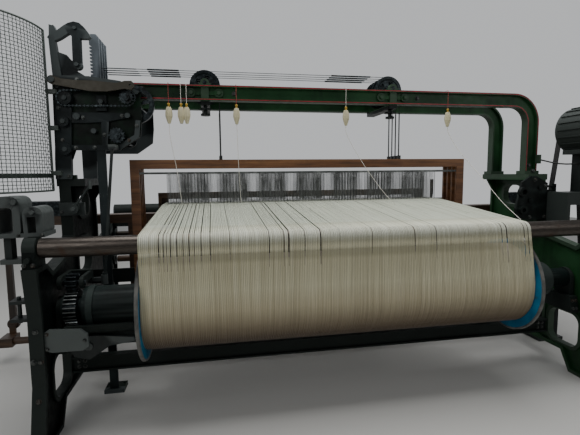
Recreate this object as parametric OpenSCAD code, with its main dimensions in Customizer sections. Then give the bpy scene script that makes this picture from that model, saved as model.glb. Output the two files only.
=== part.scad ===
// A wide fancy power loom, seen by the photographer from its warp-beam side.
// X runs across the loom, Y from the warp beam (-Y) to the weaver's side (+Y), Z up from the floor.

/* [Frame] */
// Width over the two shuttle boxes
overall_w = 4300; // [4200:10:4500]
// Depth over the feet of the side frames
frame_depth = 1600; // [1580:10:1700]
// Distance between the middle planes of the side frames
frame_span = 3000; // [2960:10:3060]
// Width over the flange of a side frame casting
frame_flange = 60; // [50:2:70]
// Thickness of a side frame's web
frame_web = 22; // [14:1:30]
// Height of the pads that carry the arches and the dobby
pad_h = 1240; // [1220:5:1260]

/* [Arch] */
// Height of the top of the arches
arch_top = 1776; // [1760:1:1790]
// Depth of the arch section between its two flanges
arch_section = 88; // [80:1:96]
// Distance between the two arches
arch_gap = 350; // [340:2:360]
// Outer radius of the arch's corner
arch_corner = 190; // [160:5:220]
// Width of the arch flange
arch_flange = 56; // [48:2:64]
// Thickness of the arch web and of its flanges
arch_web = 12; // [8:1:16]

/* [Warp] */
// Width of the warp on the beam
warp_w = 2100; // [2060:5:2120]
// Radius of the beam flanges
flange_r = 290; // [280:1:300]
// Radius of the yarn wound on the beam
yarn_r = 232; // [210:1:245]
// Height of the beam's axis
beam_z = 596; // [590:1:602]
// Radius of the beam barrel under the yarn
barrel_r = 80; // [60:1:95]
// Radius of the let-off drum beside the flange
drum_r = 102; // [94:1:106]
// Radius of the back rest roller
roller_r = 45; // [40:1:48]
// Height of the back rest roller's axis
roller_z = 934; // [925:1:940]
// Thickness of the sheet of warp threads
sheet_t = 3; // [2:0.5:4]
// Height of the raised warp at the healds
warp_z = 1080; // [1072:1:1086]
// Height of the cloth's fell and of the cloth up to the breast beam
cloth_top = 1035; // [1030:1:1040]
// Width of the warp at the healds
warp_in = 1820; // [1780:5:1860]
// Spacing of the heddles, of the reed's dents and of the splits in the warp
dent_pitch = 20; // [20:1:26]
// Width of the gap between two ribbons of the warp
dent_gap = 6; // [5:0.5:8]

/* [Healds] */
// Width of a heald frame
heald_w = 2180; // [2160:5:2200]
// Height of the top of a heald frame
heald_top = 1348; // [1340:2:1352]
// Height of the bottom of a heald frame
heald_bottom = 664; // [650:2:680]
// Distance between two heald frames
heald_pitch = 54; // [50:1:56]
// Thickness of a heald frame's wood
heald_t = 18; // [14:1:22]
// Width of a heald frame's staves
stave = 52; // [44:1:60]
// Thickness of a heald's wire
heddle_t = 2; // [1.5:0.5:3]

/* [Harness] */
// Radius of the groove of a harness sheave
sheave_r = 82; // [76:1:86]
// Place of the left sheaves across the loom
sheave_x_left = -730; // [-780:5:-700]
// Place of the right sheaves across the loom
sheave_x_right = 440; // [420:5:480]
// Thickness of a harness jack
jack_t = 14; // [10:1:18]

/* [Sley] */
// Height of the race board's top
race_z = 994; // [988:1:998]
// Height of the rocking shaft that the sley swings on
rock_z = 150; // [140:1:170]
// Height of the reed above the race board
reed_h = 106; // [100:2:110]
// Depth of the race board from the reed to its front edge
race_d = 110; // [100:2:120]
// Length of the shuttle
shuttle_l = 400; // [360:5:420]
// Length of a shuttle box
box_l = 560; // [520:5:600]

/* [Gears] */
// Module of the let-off gears
beam_module = 6.5; // [6:0.5:7]
// Teeth of the beam gear
beam_teeth = 26; // [24:1:28]
// Teeth of the let-off pinion
pinion_teeth = 13; // [12:1:14]
// Module of the shaft gears
shaft_module = 6; // [5:0.5:6.5]
// Teeth of the crankshaft's gear, half of those on the bottom shaft
crank_teeth = 20; // [18:1:22]
// Throw of the cranks
crank_throw = 25; // [20:1:28]

/* [Drive] */
// Radius of the hand wheel on the crankshaft
hand_wheel_r = 230; // [200:5:250]
// Radius of the motor's body
motor_r = 150; // [130:5:160]

/* [Hidden] */
$fn = 48;

iron = "#2b3330";
green = "#1f4a2c";
steel = "#8a8d90";
dark_steel = "#3a3e42";
wood = "#a5703c";
cream = "#d9d3bb";
blue = "#1f86b8";
brass_brown = "#5c5142";

clear = 0.5;          // running gap between a shaft and its eye
seat = 0.3;           // gap left where one body lies beside another
back = -frame_depth / 2;
front = frame_depth / 2;
x_frame = frame_span / 2;
inner = x_frame - frame_flange / 2;      // inner face of a side frame
outer = x_frame + frame_flange / 2;      // outer face of a side frame
pad_t = 40;
pad_in = inner - 75;                     // inner edge of a pad

beam_y = back + flange_r;
beam_flange_t = 24;
roller_y = beam_y - yarn_r + roller_r - 4 + sheet_t;
roller_end = x_frame + 6;
arch_back_y = roller_y + 530;
arch_front_y = arch_back_y + arch_gap;
arch_x = inner + 25;                     // outer edge of the arch's leg
arch_left = -1150;                       // left end of the arches, bolted to the dobby
arch_bottom = arch_top - arch_section;

heald_y = arch_back_y + 66;              // first heald frame
fell_y = arch_front_y + 212;
reed_y = arch_front_y + 72;              // reed at rest
rock_y = reed_y + 30;
swing = 9;                               // the sley's swing in degrees
breast_y = front - 60;
breast_r = 52;
hx = -92;                                // middle of the healds, reed and cloth
breast_z = cloth_top - sheet_t - seat - breast_r;
take_up_r = 60;
take_up_z = 800;
take_up_y = breast_y + breast_r - take_up_r;

sheave_z = arch_top + 14;
sheave_rim = 8;
cord_r = 1.8;
handle_x = 1180;
handle_y = front - 96;
cord_off = 5;                            // moving cords run beside the ones on the sheaves

jack_x = -1330;                          // pivot of the jacks
jack_z = 1500;
jack_top = 2056;
rod_z = sheave_z + sheave_r + 2;

crank_y = -60;
crank_z = 470;
shaft_r = 22;
gear_drop = 134;
gear_run = sqrt(pow(1.5 * crank_teeth * shaft_module, 2) - pow(gear_drop, 2));
bottom_y = crank_y + gear_run;
bottom_z = crank_z - gear_drop;
gear_x = inner - 46;
pin_y = rock_y - 40;                     // crank arm's pin on the sword

gear_x0 = 38 - inner;                         // outer face of the beam gear
gear_w = 58;
drum_x0 = gear_x0 + gear_w + 29;
pinion_z = beam_z + (beam_teeth + pinion_teeth) * beam_module / 2;

dobby_l = -1538;
dobby_r = -1080;
dobby_b = 1430;
dobby_t = 1790;
near_y = arch_back_y - 66;               // outer face of the dobby's near plate
far_y = arch_front_y + 44;               // inner face of the dobby's far plate
plate_t = 26;
guard_r = 420;

function add(a, b) = [a[0] + b[0], a[1] + b[1]];
function unit(v) = v / norm(v);
// Moves each corner of an anticlockwise outline inwards by d.
function inset(p, d) = [for (i = [0:len(p) - 1])
    let (
        a = p[(i + len(p) - 1) % len(p)], b = p[i], c = p[(i + 1) % len(p)],
        u = unit(b - a), v = unit(c - b),
        n = [-u[1], u[0]], m = [-v[1], v[0]]
    ) b + (n + m) * d / (1 + n * m)];
// Outline of a gear with straight-sided teeth: n teeth, module m.
function gear_outline(n, m, turn = 0) = let (
    r = n * m / 2, a = 360 / n,
    prof = [[r - 1.2 * m, -0.33], [r, -0.21], [r + 0.85 * m, -0.1],
            [r + 0.85 * m, 0.1], [r, 0.21], [r - 1.2 * m, 0.33]]
) [for (i = [0:n - 1]) for (q = prof)
    let (t = turn + (i + q[1]) * a) [q[0] * cos(t), q[0] * sin(t)]];

// Lies an extrusion of a drawing of (Y, Z) along X, from x0 to x1.
module along_x(x0, x1) {
    translate([x0, 0, 0]) rotate([90, 0, 90]) linear_extrude(x1 - x0) children();
}
// Stands an extrusion of a drawing of (X, Z) along Y, from y0 to y1.
module along_y(y0, y1) {
    translate([0, y1, 0]) rotate([90, 0, 0]) linear_extrude(y1 - y0) children();
}
module rod_x(x0, x1, y, z, r) {
    translate([x0, y, z]) rotate([0, 90, 0]) cylinder(h = x1 - x0, r = r);
}
module rod_y(y0, y1, x, z, r) {
    translate([x, y0, z]) rotate([-90, 0, 0]) cylinder(h = y1 - y0, r = r);
}
module rod_z(z0, z1, x, y, r) {
    translate([x, y, z0]) cylinder(h = z1 - z0, r = r);
}
module rod_between(a, b, r) {
    way = b - a;
    translate(a) rotate([0, acos(way[2] / norm(way)), atan2(way[1], way[0])])
        cylinder(h = norm(way), r = r);
}
module tube_x(x0, x1, y, z, r, bore) {
    difference() {
        rod_x(x0, x1, y, z, r);
        rod_x(x0 - 1, x1 + 1, y, z, bore);
    }
}
// A rectangle with round corners, centred at c.
module pane(c, w, h, r) {
    translate(c) {
        square([w - 2 * r, h], center = true);
        square([w, h - 2 * r], center = true);
        for (sx = [-1, 1]) for (sy = [-1, 1])
            translate([sx * (w / 2 - r), sy * (h / 2 - r)]) circle(r);
    }
}
// A bar with round ends between two points.
module link(a, b, w) {
    d = b - a;
    translate(a) rotate(atan2(d[1], d[0])) {
        translate([0, -w / 2]) square([norm(d), w]);
        circle(w / 2);
        translate([norm(d), 0]) circle(w / 2);
    }
}

// Outline of a side frame, as (Y, Z), anticlockwise.
frame_outline = [
    [back, 0], [back + 230, 0], [back + 300, 120], [front - 300, 120], [front - 230, 0], [front, 0],
    [front, 50], [front - 70, 150], [front - 62, 700], [front - 5, 820], [front - 5, 930],
    [front - 150, 930], [front - 190, 850], [arch_front_y + 280, 820], [arch_front_y + 62, 850],
    [arch_front_y + 62, pad_h - pad_t], [arch_back_y - 76, pad_h - pad_t],
    [arch_back_y - 76, 930], [arch_back_y - 150, 850], [roller_y + 130, 800],
    [roller_y + 66, 850], [roller_y - 66, 850], [roller_y - 40, 640], [back + 60, 300], [back, 50]
];
// Openings of a side frame: centre, width, height, corner radius.
frame_panes = [
    [[back + 300, 265], 230, 210, 60],
    [[back + 575, 350], 210, 330, 60],
    [[arch_front_y + 53, 350], 190, 270, 60],
    [[front - 270, 410], 180, 400, 60],
    [[arch_back_y + arch_gap / 2, 1090], 190, 140, 60],
    [[arch_back_y + arch_gap / 2 - 30, 780], 240, 200, 60]
];
pane_rim = 22;

module side_frame(s) {
    x0 = s > 0 ? inner : -outer;
    difference() {
        union() {
            along_x(x0 + (frame_flange - frame_web) / 2, x0 + (frame_flange + frame_web) / 2)
                polygon(frame_outline);
            along_x(x0, x0 + frame_flange) difference() {
                polygon(frame_outline);
                polygon(inset(frame_outline, 24));
            }
            for (p = frame_panes)
                along_x(x0 + 8, x0 + frame_flange - 8)
                    pane(p[0], p[1] + 2 * pane_rim, p[2] + 2 * pane_rim, p[3] + pane_rim);
            // Bosses for the shafts
            for (q = [[crank_y, crank_z, 60], [bottom_y, bottom_z, 60], [rock_y, rock_z, 46],
                      [take_up_y, take_up_z, 44], [cloth_y, cloth_z, 44]])
                rod_x(x0 - 4, x0 + frame_flange + 4, q[0], q[1], q[2]);
            // The pad for the arch feet
            translate([s > 0 ? pad_in : -outer - 10, arch_back_y - 76, pad_h - pad_t])
                cube([outer - pad_in + 10, arch_gap + 138, pad_t]);
            // Gussets under the pad
            for (y = [arch_back_y - 40, arch_front_y + 10])
                translate([0, y, 0]) along_y(0, 20)
                    polygon(s > 0
                        ? [[pad_in + 10, pad_h - pad_t], [inner + 4, pad_h - pad_t - 110],
                           [inner + 4, pad_h - pad_t]]
                        : [[-inner - 4, pad_h - pad_t], [-inner - 4, pad_h - pad_t - 110],
                           [-pad_in - 10, pad_h - pad_t]]);
        }
        for (p = frame_panes) along_x(x0 - 20, x0 + frame_flange + 20) pane(p[0], p[1], p[2], p[3]);
        for (q = [[crank_y, crank_z, shaft_r], [bottom_y, bottom_z, shaft_r], [rock_y, rock_z, 24],
                  [take_up_y, take_up_z, 18], [cloth_y, cloth_z, 24]])
            rod_x(x0 - 20, x0 + frame_flange + 20, q[0], q[1], q[2] + clear / 5);
        // Holding-down bolt holes in the feet
        for (y = [back + 60, front - 60]) translate([s * x_frame, y, -1]) cylinder(h = 30, r = 11);
    }
}
module side_frame_left() { color(iron) side_frame(-1); }
module side_frame_right() {
    color(green) side_frame(1);
    // Bracket with bosses and guide rods at the foot of the arch
    y0 = arch_back_y - 94;
    color(green) difference() {
        union() {
            along_y(y0, y0 + 18)
                polygon([[outer, 930], [outer, 1178], [outer - 90, 1226], [outer - 130, 1226],
                         [outer - 196, 1186], [outer - 236, 1010], [outer - 226, 944], [outer - 150, 930]]);
            rod_y(y0 - 28, y0, outer - 196, 1121, 34);
            rod_y(y0 - 24, y0, outer - 190, 1000, 28);
            rod_y(y0 - 12, y0, outer - 132, 1066, 16);
            rod_y(y0 - 12, y0, outer - 60, 1150, 14);
        }
        rod_y(y0 - 30, y0 - 6, outer - 196, 1121, 18);
        rod_y(y0 - 30, y0 - 6, outer - 190, 1000, 14);
    }
    color(green) {
        rod_x(outer - 4, outer + 62, y0 + 9, 1156, 8);
        rod_x(outer - 4, outer + 62, y0 + 9, 1126, 6);
        translate([outer + 50, y0 - 4, 1112]) cube([14, 26, 60]);
    }
}

// The rounded portal that the arch's leg and beam follow, drawn in X and Z.
module portal(inner_by, r) {
    x1 = arch_x - inner_by;
    z1 = arch_top - inner_by;
    translate([arch_left - 10, pad_h - 10]) square([x1 - r - arch_left + 10, z1 - pad_h + 10]);
    translate([arch_left - 10, pad_h - 10]) square([x1 - arch_left + 10, z1 - r - pad_h + 10]);
    translate([x1 - r, z1 - r]) circle(r, $fn = 96);
}
module arch_band(from, to) {
    intersection() {
        difference() {
            portal(from, arch_corner - from);
            portal(to, arch_corner - to);
        }
        translate([arch_left, pad_h]) square([arch_x - arch_left + 10, 1000]);
    }
}
module arch(y) {
    along_y(y - arch_web / 2, y + arch_web / 2) arch_band(0, arch_section);
    for (d = [0, arch_section - arch_web])
        along_y(y - arch_flange / 2, y + arch_flange / 2) arch_band(d, d + arch_web);
    // Foot bolted on the pad
    difference() {
        translate([arch_x - arch_section - 14, y - arch_flange / 2 - 14, pad_h])
            cube([arch_section + 20, arch_flange + 28, 22]);
        for (sx = [0, 1]) for (sy = [-1, 1])
            translate([arch_x - arch_section - 2 + sx * (arch_section - 4),
                       y + sy * (arch_flange / 2 + 3), pad_h - 1]) cylinder(h = 30, r = 6);
    }
    // Flange bolted to the dobby
    translate([arch_left, y - arch_flange / 2 - 6, arch_bottom - 20])
        cube([14, arch_flange + 12, arch_section + 20]);
}
module arches() {
    color(green) for (y = [arch_back_y, arch_front_y]) arch(y);
    // Small terminal box on the leg, for the motor's lead
    color(iron) translate([arch_x - 14, arch_back_y - arch_flange / 2 - 34, 1310]) cube([16, 34, 60]);
}

rail_h = 110;
module cross_rails() {
    rear_rail_y = back + 443;
    web_end = inner + (frame_flange - frame_web) / 2;
    color(iron) {
        // A rail at the weaver's side and one behind the beam, between two windows of the frames
        translate([-web_end, front - 140, 180]) cube([2 * web_end, 14, rail_h]);
        translate([-inner, front - 196, 180]) cube([2 * inner, 70, 12]);
        translate([-inner - 8, rear_rail_y - 7, 190]) cube([2 * inner + 16, 14, 85]);
        for (z = [190, 265])
            translate([-inner - 8, rear_rail_y - 25, z]) cube([2 * inner + 16, 50, 10]);
        // The girt that ties the frames under the healds
        translate([-web_end, 110, 560]) cube([2 * web_end, 14, 90]);
    }
}

module breast_beam() {
    color(iron) {
        difference() {
            along_x(-inner, inner) {
                translate([breast_y, breast_z]) circle(breast_r);
                translate([breast_y - 34, 860]) square([24, breast_z - 900]);
                translate([breast_y - 34, 860]) square([78, 22]);
                translate([breast_y - 34, 860]) square([24, 110]);
            }
        }
        // Stay and pin of the starting handle
        difference() {
            along_x(handle_x + 30, handle_x + 44)
                polygon([[handle_y - 24, 676], [handle_y + 24, 676], [handle_y + 40, 882],
                         [handle_y - 20, 882]]);
            rod_x(handle_x + 20, handle_x + 60, take_up_y, take_up_z, 21);
        }
        rod_x(handle_x - 14, handle_x + 44, handle_y, 700, 10);
        rod_x(handle_x - 22, handle_x - 14, handle_y, 700, 16);
    }
}

module sheave_bracket(x) {
    // Saddle that bridges the arches below the beams
    translate([x - 26, arch_back_y - 22, arch_bottom - 26])
        cube([52, arch_gap + 44, 26]);
    // Web and lugs against each beam
    for (s = [-1, 1]) {
        y = s < 0 ? arch_back_y : arch_front_y;
        yo = y + s * arch_web / 2;
        // Rib and bolted lugs on the outer face of the web
        translate([x - 22, s < 0 ? yo - 16 : yo, arch_bottom + arch_web])
            cube([44, 16, arch_section - 2 * arch_web]);
        for (lug = [-80, 80])
            rod_y(s < 0 ? yo - 12 : yo, s < 0 ? yo : yo + 12, x + lug, arch_bottom + 44, 26);
        translate([x - 80, s < 0 ? yo - 8 : yo, arch_bottom + 32]) cube([160, 8, 24]);
        for (lug = [-80, 80])
            rod_y(s < 0 ? yo - 24 : yo + 12, s < 0 ? yo - 12 : yo + 24, x + lug, arch_bottom + 44, 11);
    }
    // Cheeks on the beams that hold the sheaves' pin
    for (s = [-1, 1]) {
        y = s < 0 ? arch_back_y : arch_front_y;
        difference() {
            union() {
                translate([x - 34, y - 22, arch_top]) cube([68, 44, 12]);
                rod_y(y - 14, y + 14, x, sheave_z, 26);
            }
            rod_y(y - 30, y + 30, x, sheave_z, 12 + clear / 5);
            translate([x - 40, y - 30, arch_top - 40]) cube([80, 60, 40]);
        }
    }
    // Stem and adjusting nut under the saddle
    rod_z(arch_bottom - 70, arch_bottom - 26, x, arch_back_y + 30, 12);
    rod_z(arch_bottom - 50, arch_bottom - 40, x, arch_back_y + 30, 34);
    rod_z(arch_bottom - 82, arch_bottom - 70, x, arch_back_y + 30, 28);
}
module sheave_brackets() {
    color(green) for (x = [sheave_x_left, sheave_x_right]) sheave_bracket(x);
}
function heald_place(i) = heald_y + i * heald_pitch;
// Four grooved sheaves on the pin that turns them.
module sheave_set(x) {
    rod_y(arch_back_y - 20, arch_front_y + 20, x, sheave_z, 12);
    for (i = [0:3]) translate([x, heald_place(i) + cord_off / 2, sheave_z]) rotate([90, 0, 0])
        difference() {
            rotate_extrude($fn = 72) polygon([
                [10, -14], [26, -14], [26, -6], [sheave_r - 16, -6], [sheave_r - 10, -9],
                [sheave_r + sheave_rim, -9], [sheave_r + 1, -6], [sheave_r - 2, -5.5],
                [sheave_r - 2, 5.5], [sheave_r + 1, 6], [sheave_r + sheave_rim, 9],
                [sheave_r - 10, 9], [sheave_r - 16, 6], [26, 6], [26, 14], [10, 14]
            ]);
            for (a = [0:72:359]) rotate(a) translate([48, 0, -20]) cylinder(h = 40, r = 13, $fn = 24);
        }
}
module sheaves_left() { color(dark_steel) sheave_set(sheave_x_left); }
module sheaves_right() { color(dark_steel) sheave_set(sheave_x_right); }
// The quarter turn of each cord that lies in its sheave.
module harness_cords() {
    color(dark_steel) for (x = [sheave_x_left, sheave_x_right]) for (i = [0:3])
        translate([x, heald_place(i), sheave_z]) rotate([90, 0, 0])
            rotate_extrude(angle = 90, $fn = 72) translate([sheave_r + 0.2 + cord_r, 0]) circle(cord_r, $fn = 16);
}

module backrest_brackets() {
    color(iron) for (s = [-1, 1]) difference() {
        union() {
            along_x(s > 0 ? inner + 4 : -outer + 4, s > 0 ? outer - 4 : -inner - 4) {
                polygon([[roller_y - 60, 850], [roller_y + 60, 850], [roller_y + 52, roller_z + 8],
                         [roller_y - 52, roller_z + 8]]);
                translate([roller_y, roller_z]) circle(roller_r + 10);
            }
            rod_y(roller_y - 80, roller_y - 40, s * x_frame, 890, 12);
        }
        rod_x(-outer - 50, outer + 50, roller_y, roller_z, 20 + clear / 5);
        along_x(-outer - 50, outer + 50) translate([roller_y - 21, roller_z]) square([42, 100]);
    }
}
module back_roller() {
    color(steel) {
        rod_x(-inner + 4, inner - 4, roller_y, roller_z, roller_r);
        rod_x(-roller_end - 30, -inner + 4, roller_y, roller_z, 20);
        rod_x(inner - 4, roller_end + 30, roller_y, roller_z, 20);
    }
}

flange_x = warp_w / 2 + seat;
module warp_beam() {
    color(iron) {
        rod_x(-flange_x, flange_x, beam_y, beam_z, barrel_r - seat);
        rod_x(drum_x0, -flange_x - beam_flange_t, beam_y, beam_z, drum_r);
        rod_x(flange_x + beam_flange_t, inner - 180, beam_y, beam_z, drum_r);
        rod_x(24 - inner, drum_x0, beam_y, beam_z, 56);
        rod_x(inner - 180, inner - 24, beam_y, beam_z, 56);
        rod_x(24 - inner, gear_x0, beam_y, beam_z, 74);
        rod_x(-inner - 14, 24 - inner, beam_y, beam_z, 30);
        rod_x(inner - 24, inner + 14, beam_y, beam_z, 30);
        // Clamp band with its bolts round the drum
        tube_x(drum_x0 + 20, drum_x0 + 50, beam_y, beam_z, drum_r + 6, drum_r - 2);
    }
}
// A dished disc with a rolled rim: the inner face is painted, the rim bare.
module beam_flange(s) {
    translate([s * flange_x, beam_y, beam_z]) rotate([0, s * 90, 0])
        rotate_extrude($fn = 120) polygon([
            [barrel_r, 0], [flange_r - 10, 0], [flange_r - 4, -3], [flange_r, 2], [flange_r, 14],
            [flange_r - 14, 18], [flange_r - 20, 10], [170, 10], [150, beam_flange_t],
            [barrel_r, beam_flange_t]
        ]);
}
module beam_flanges() { color(blue) for (s = [-1, 1]) beam_flange(s); }
module warp_yarn() {
    color(cream) translate([-warp_w / 2, beam_y, beam_z]) rotate([0, 90, 0])
        rotate_extrude($fn = 120) polygon([
            [barrel_r, 0], [yarn_r - 5, 0], [yarn_r, 8], [yarn_r, warp_w - 8], [yarn_r - 5, warp_w],
            [barrel_r, warp_w]
        ]);
}
module beam_gear() {
    color(dark_steel) difference() {
        translate([gear_x0, beam_y, beam_z]) rotate([90, 0, 90]) linear_extrude(gear_w)
            polygon(gear_outline(beam_teeth, beam_module, 90 - 180 / beam_teeth));
        rod_x(gear_x0 - 1, gear_x0 + gear_w + 1, beam_y, beam_z, 56);
    }
}
module let_off_pinion() {
    color(dark_steel) {
        translate([gear_x0 + 4, beam_y, pinion_z]) rotate([90, 0, 90]) linear_extrude(gear_w - 8)
            polygon(gear_outline(pinion_teeth, beam_module, -90));
        rod_x(-inner + 4, gear_x0 + gear_w + 34, beam_y, pinion_z, 14);
        rod_x(gear_x0 - 12, gear_x0 + 4, beam_y, pinion_z, 20);
    }
}
// Brackets on the side frames that hold the beam's journals and the let-off pinion.
module beam_cradles() {
    color(iron) {
        for (s = [-1, 1]) difference() {
            union() {
                along_x(s > 0 ? inner - 21 : -inner, s > 0 ? inner : 21 - inner) {
                    translate([beam_y, beam_z]) circle(62);
                    translate([beam_y - 62, beam_z - 100]) square([124, 100]);
                }
                along_x(s > 0 ? inner - 50 : -inner, s > 0 ? inner : 50 - inner)
                    polygon([[beam_y - 110, 400], [beam_y + 150, 400], [beam_y + 130, 440],
                             [beam_y + 90, beam_z - 100], [beam_y - 90, beam_z - 100],
                             [beam_y - 100, 440]]);
            }
            rod_x(-inner - 130, inner + 130, beam_y, beam_z, 30 + clear / 5);
        }
        // Trough that carries the drum's brake shoe, bolted to the left bracket
        along_x(50 - inner, -flange_x - beam_flange_t - 30) difference() {
            translate([beam_y, beam_z]) circle(drum_r + 34);
            translate([beam_y, beam_z]) circle(drum_r + 14);
            translate([beam_y - 300, beam_z - 62]) square([600, 400]);
        }
        along_x(50 - inner, -flange_x - beam_flange_t - 30)
            translate([beam_y - 40, beam_z - drum_r - 90]) square([80, 70]);
        // Pinion bearings: one at each side of the gear
        difference() {
            union() {
                along_x(-inner, 20 - inner) {
                    translate([beam_y, pinion_z]) circle(34);
                    translate([beam_y, pinion_z - 34]) square([160, 68]);
                }
                along_x(gear_x0 + gear_w + 6, gear_x0 + gear_w + 24) {
                    translate([beam_y, pinion_z]) circle(30);
                    translate([beam_y, pinion_z - 10]) square([160, 40]);
                }
                along_x(-inner, gear_x0 + gear_w + 24)
                    translate([beam_y + 130, pinion_z - 20]) square([30, 54]);
            }
            rod_x(-inner - 10, gear_x0 + gear_w + 60, beam_y, pinion_z, 14 + clear / 5);
        }
    }
}

sheet_r = roller_r + seat;
heald_line = heald_y - 40;
rise = atan2(warp_z - (roller_z + sheet_r + sheet_t), heald_line - roller_y);
sheet_end_x = warp_w / 2 - 4;
last_y = heald_y + 3 * heald_pitch + 20;
fall = atan2(warp_z - cloth_top, fell_y - last_y);
// Path of the warp in Y and Z: up from the beam, round the roller, to the healds, to the fell.
function bend(r, steps) = [for (i = steps) let (a = 180 - (90 - rise) * i / 12)
    [roller_y + r * cos(a), roller_z + r * sin(a)]];
// Cut through the warp: up from the beam, over the roller and on to the fell
module warp_path() {
    polygon(concat([[roller_y - sheet_r, beam_z + 10]], bend(sheet_r, [0:12]),
        [[heald_line, warp_z - sheet_t], [last_y, warp_z - sheet_t], [fell_y + 2, cloth_top - sheet_t],
        [fell_y + 2, cloth_top], [last_y, warp_z], [heald_line, warp_z]],
        bend(sheet_r + sheet_t, [12:-1:0]), [[roller_y - sheet_r - sheet_t, beam_z + 10]]));
}
// The splits let the heddles and the reed's dents pass between ribbons of warp.
dents = floor((warp_in - 40) / dent_pitch / 2) * 2;
function dent_x(i) = hx + (i - dents / 2) * dent_pitch;
module warp_sheet() {
    color(cream) difference() {
        // Plan that narrows from the roller to the healds
        intersection() {
            along_x(-sheet_end_x, sheet_end_x) warp_path();
            translate([0, 0, 500]) linear_extrude(700) polygon([
                [-sheet_end_x, roller_y - 100], [sheet_end_x, roller_y - 100],
                [sheet_end_x, roller_y + 30], [hx + warp_in / 2, heald_line + 10],
                [hx + warp_in / 2, fell_y + 9], [hx - warp_in / 2, fell_y + 9],
                [hx - warp_in / 2, heald_line + 10], [-sheet_end_x, roller_y + 30]]);
        }
        for (i = [0:dents]) translate([dent_x(i) - dent_gap / 2, heald_line + 10, cloth_top - 20])
            cube([dent_gap, fell_y - heald_line - 12, 90]);
    }
}
module cloth() {
    r = breast_r + seat;
    color(cream) along_x(hx - warp_in / 2, hx + warp_in / 2) {
        translate([fell_y + 2.2, cloth_top - sheet_t]) square([breast_y - fell_y - 2.2, sheet_t]);
        difference() {
            translate([breast_y, breast_z]) circle(r + sheet_t);
            translate([breast_y, breast_z]) circle(r);
            translate([breast_y - 200, breast_z - 200]) square([200, 400]);
            translate([breast_y - 200, breast_z - 400]) square([400, 400]);
        }
        translate([breast_y + r, take_up_z]) square([sheet_t, breast_z - take_up_z]);
        difference() {
            translate([take_up_y, take_up_z]) circle(breast_y + r + sheet_t - take_up_y);
            translate([take_up_y, take_up_z]) circle(breast_y + r - take_up_y);
            translate([take_up_y - 300, take_up_z]) square([600, 300]);
            translate([take_up_y - 300, take_up_z - 300]) square([300, 600]);
        }
    }
}

dobby_bosses = [[-1462, 1670, 34], [-1477, 1548, 28], [-1475, 1400, 30]];
sprocket_at = [-1150, 1680];
low_at = [-1208, 1475];
wheel_at = [-1118, 1650];
head_outline = [[dobby_l, 1340], [-1450, 1346], [-1430, 1400], [-1190, 1400], [-1090, 1470],
    [-1080, 1560], [-1080, 1700], [-1180, 1770], [-1340, dobby_t], [dobby_l + 10, dobby_t]];
module dobby_near_plate() {
    y0 = near_y - plate_t;
    color(iron) difference() {
        union() {
            // Web of the head, sunk behind its ribs
            along_y(near_y - 10, near_y) polygon(head_outline);
            along_y(y0, near_y) {
                // Left upright, bottom rib and the two cross ribs
                polygon([[dobby_l, pad_h], [-1456, pad_h], [-1452, 1346], [-1431, 1695],
                         [-1480, dobby_t], [dobby_l + 20, dobby_t], [-1513, 1693], [-1535, 1346]]);
                polygon([[-1450, 1396], [-1200, 1396], [-1096, 1466], [-1086, 1560], [-1110, 1560],
                         [-1120, 1480], [-1210, 1424], [-1450, 1424]]);
                polygon([[-1438, 1542], [-1360, 1543], [-1266, 1549], [-1179, 1567], [-1140, 1575],
                         [-1140, 1585], [-1178, 1599], [-1435, 1598]]);
                polygon([[-1480, 1750], [-1340, 1750], [-1190, 1738], [-1100, 1700], [-1084, 1716],
                         [-1180, 1770], [-1340, dobby_t], [-1480, dobby_t]]);
                polygon([[-1310, 1608], [-1258, 1608], [-1256, 1693], [-1307, 1692]]);
                polygon([[-1290, 1420], [-1262, 1420], [-1250, 1550], [-1290, 1550]]);
            }
            for (b = dobby_bosses) rod_y(y0 - 20, near_y, b[0], b[1], b[2]);
            for (b = dobby_bosses) rod_y(y0 - 30, near_y, b[0], b[1], 12);
            rod_y(y0 - 8, near_y, sprocket_at[0], sprocket_at[1], 26);
            rod_y(y0 - 8, near_y, low_at[0], low_at[1], 30);
            rod_y(y0 - 14, near_y, -1411, 1576, 18);
            rod_y(y0 - 14, near_y, -1150, 1584, 14);
            rod_y(y0 - 24, near_y, -1283, 1655, 12);
            // Foot on the pad
            translate([dobby_l, near_y - 10, pad_h]) cube([100, 24, 22]);
        }
        rod_y(y0 - 60, near_y + 1, sprocket_at[0], sprocket_at[1], 12 + clear / 5);
        rod_y(y0 - 60, near_y + 1, low_at[0], low_at[1], 12 + clear / 5);
        rod_y(y0 - 60, near_y + 1, jack_x, jack_z, 14 - seat / 3);
    }
    color(iron) dobby_post();
}
module dobby_far_plate() {
    color(iron) difference() {
        union() {
            along_y(far_y, far_y + 12) polygon(head_outline);
            along_y(far_y, far_y + plate_t) {
                polygon([[dobby_l, pad_h], [-1450, pad_h], [-1445, dobby_t], [dobby_l, dobby_t]]);
                link([-1490, 1598], [-1120, 1602], 52);
                link([-1490, 1740], [-1190, 1745], 40);
            }
            // Stays between the two plates and the jacks' shaft
            for (q = [[-1500, 1440, 12], [-1500, 1740, 12], [-1420, 1440, 12]])
                rod_y(near_y, far_y, q[0], q[1], q[2]);
            rod_y(near_y - plate_t - 6, far_y + 2, jack_x, jack_z, 14 - seat / 3);
            rod_y(far_y - 8, far_y, wheel_at[0], wheel_at[1], 34);
        }
        rod_y(far_y - 60, far_y + 60, wheel_at[0], wheel_at[1], 16 + clear / 5);
        rod_y(far_y - 1, far_y + 60, low_at[0], low_at[1], 12 + clear / 5);
    }
}
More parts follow.
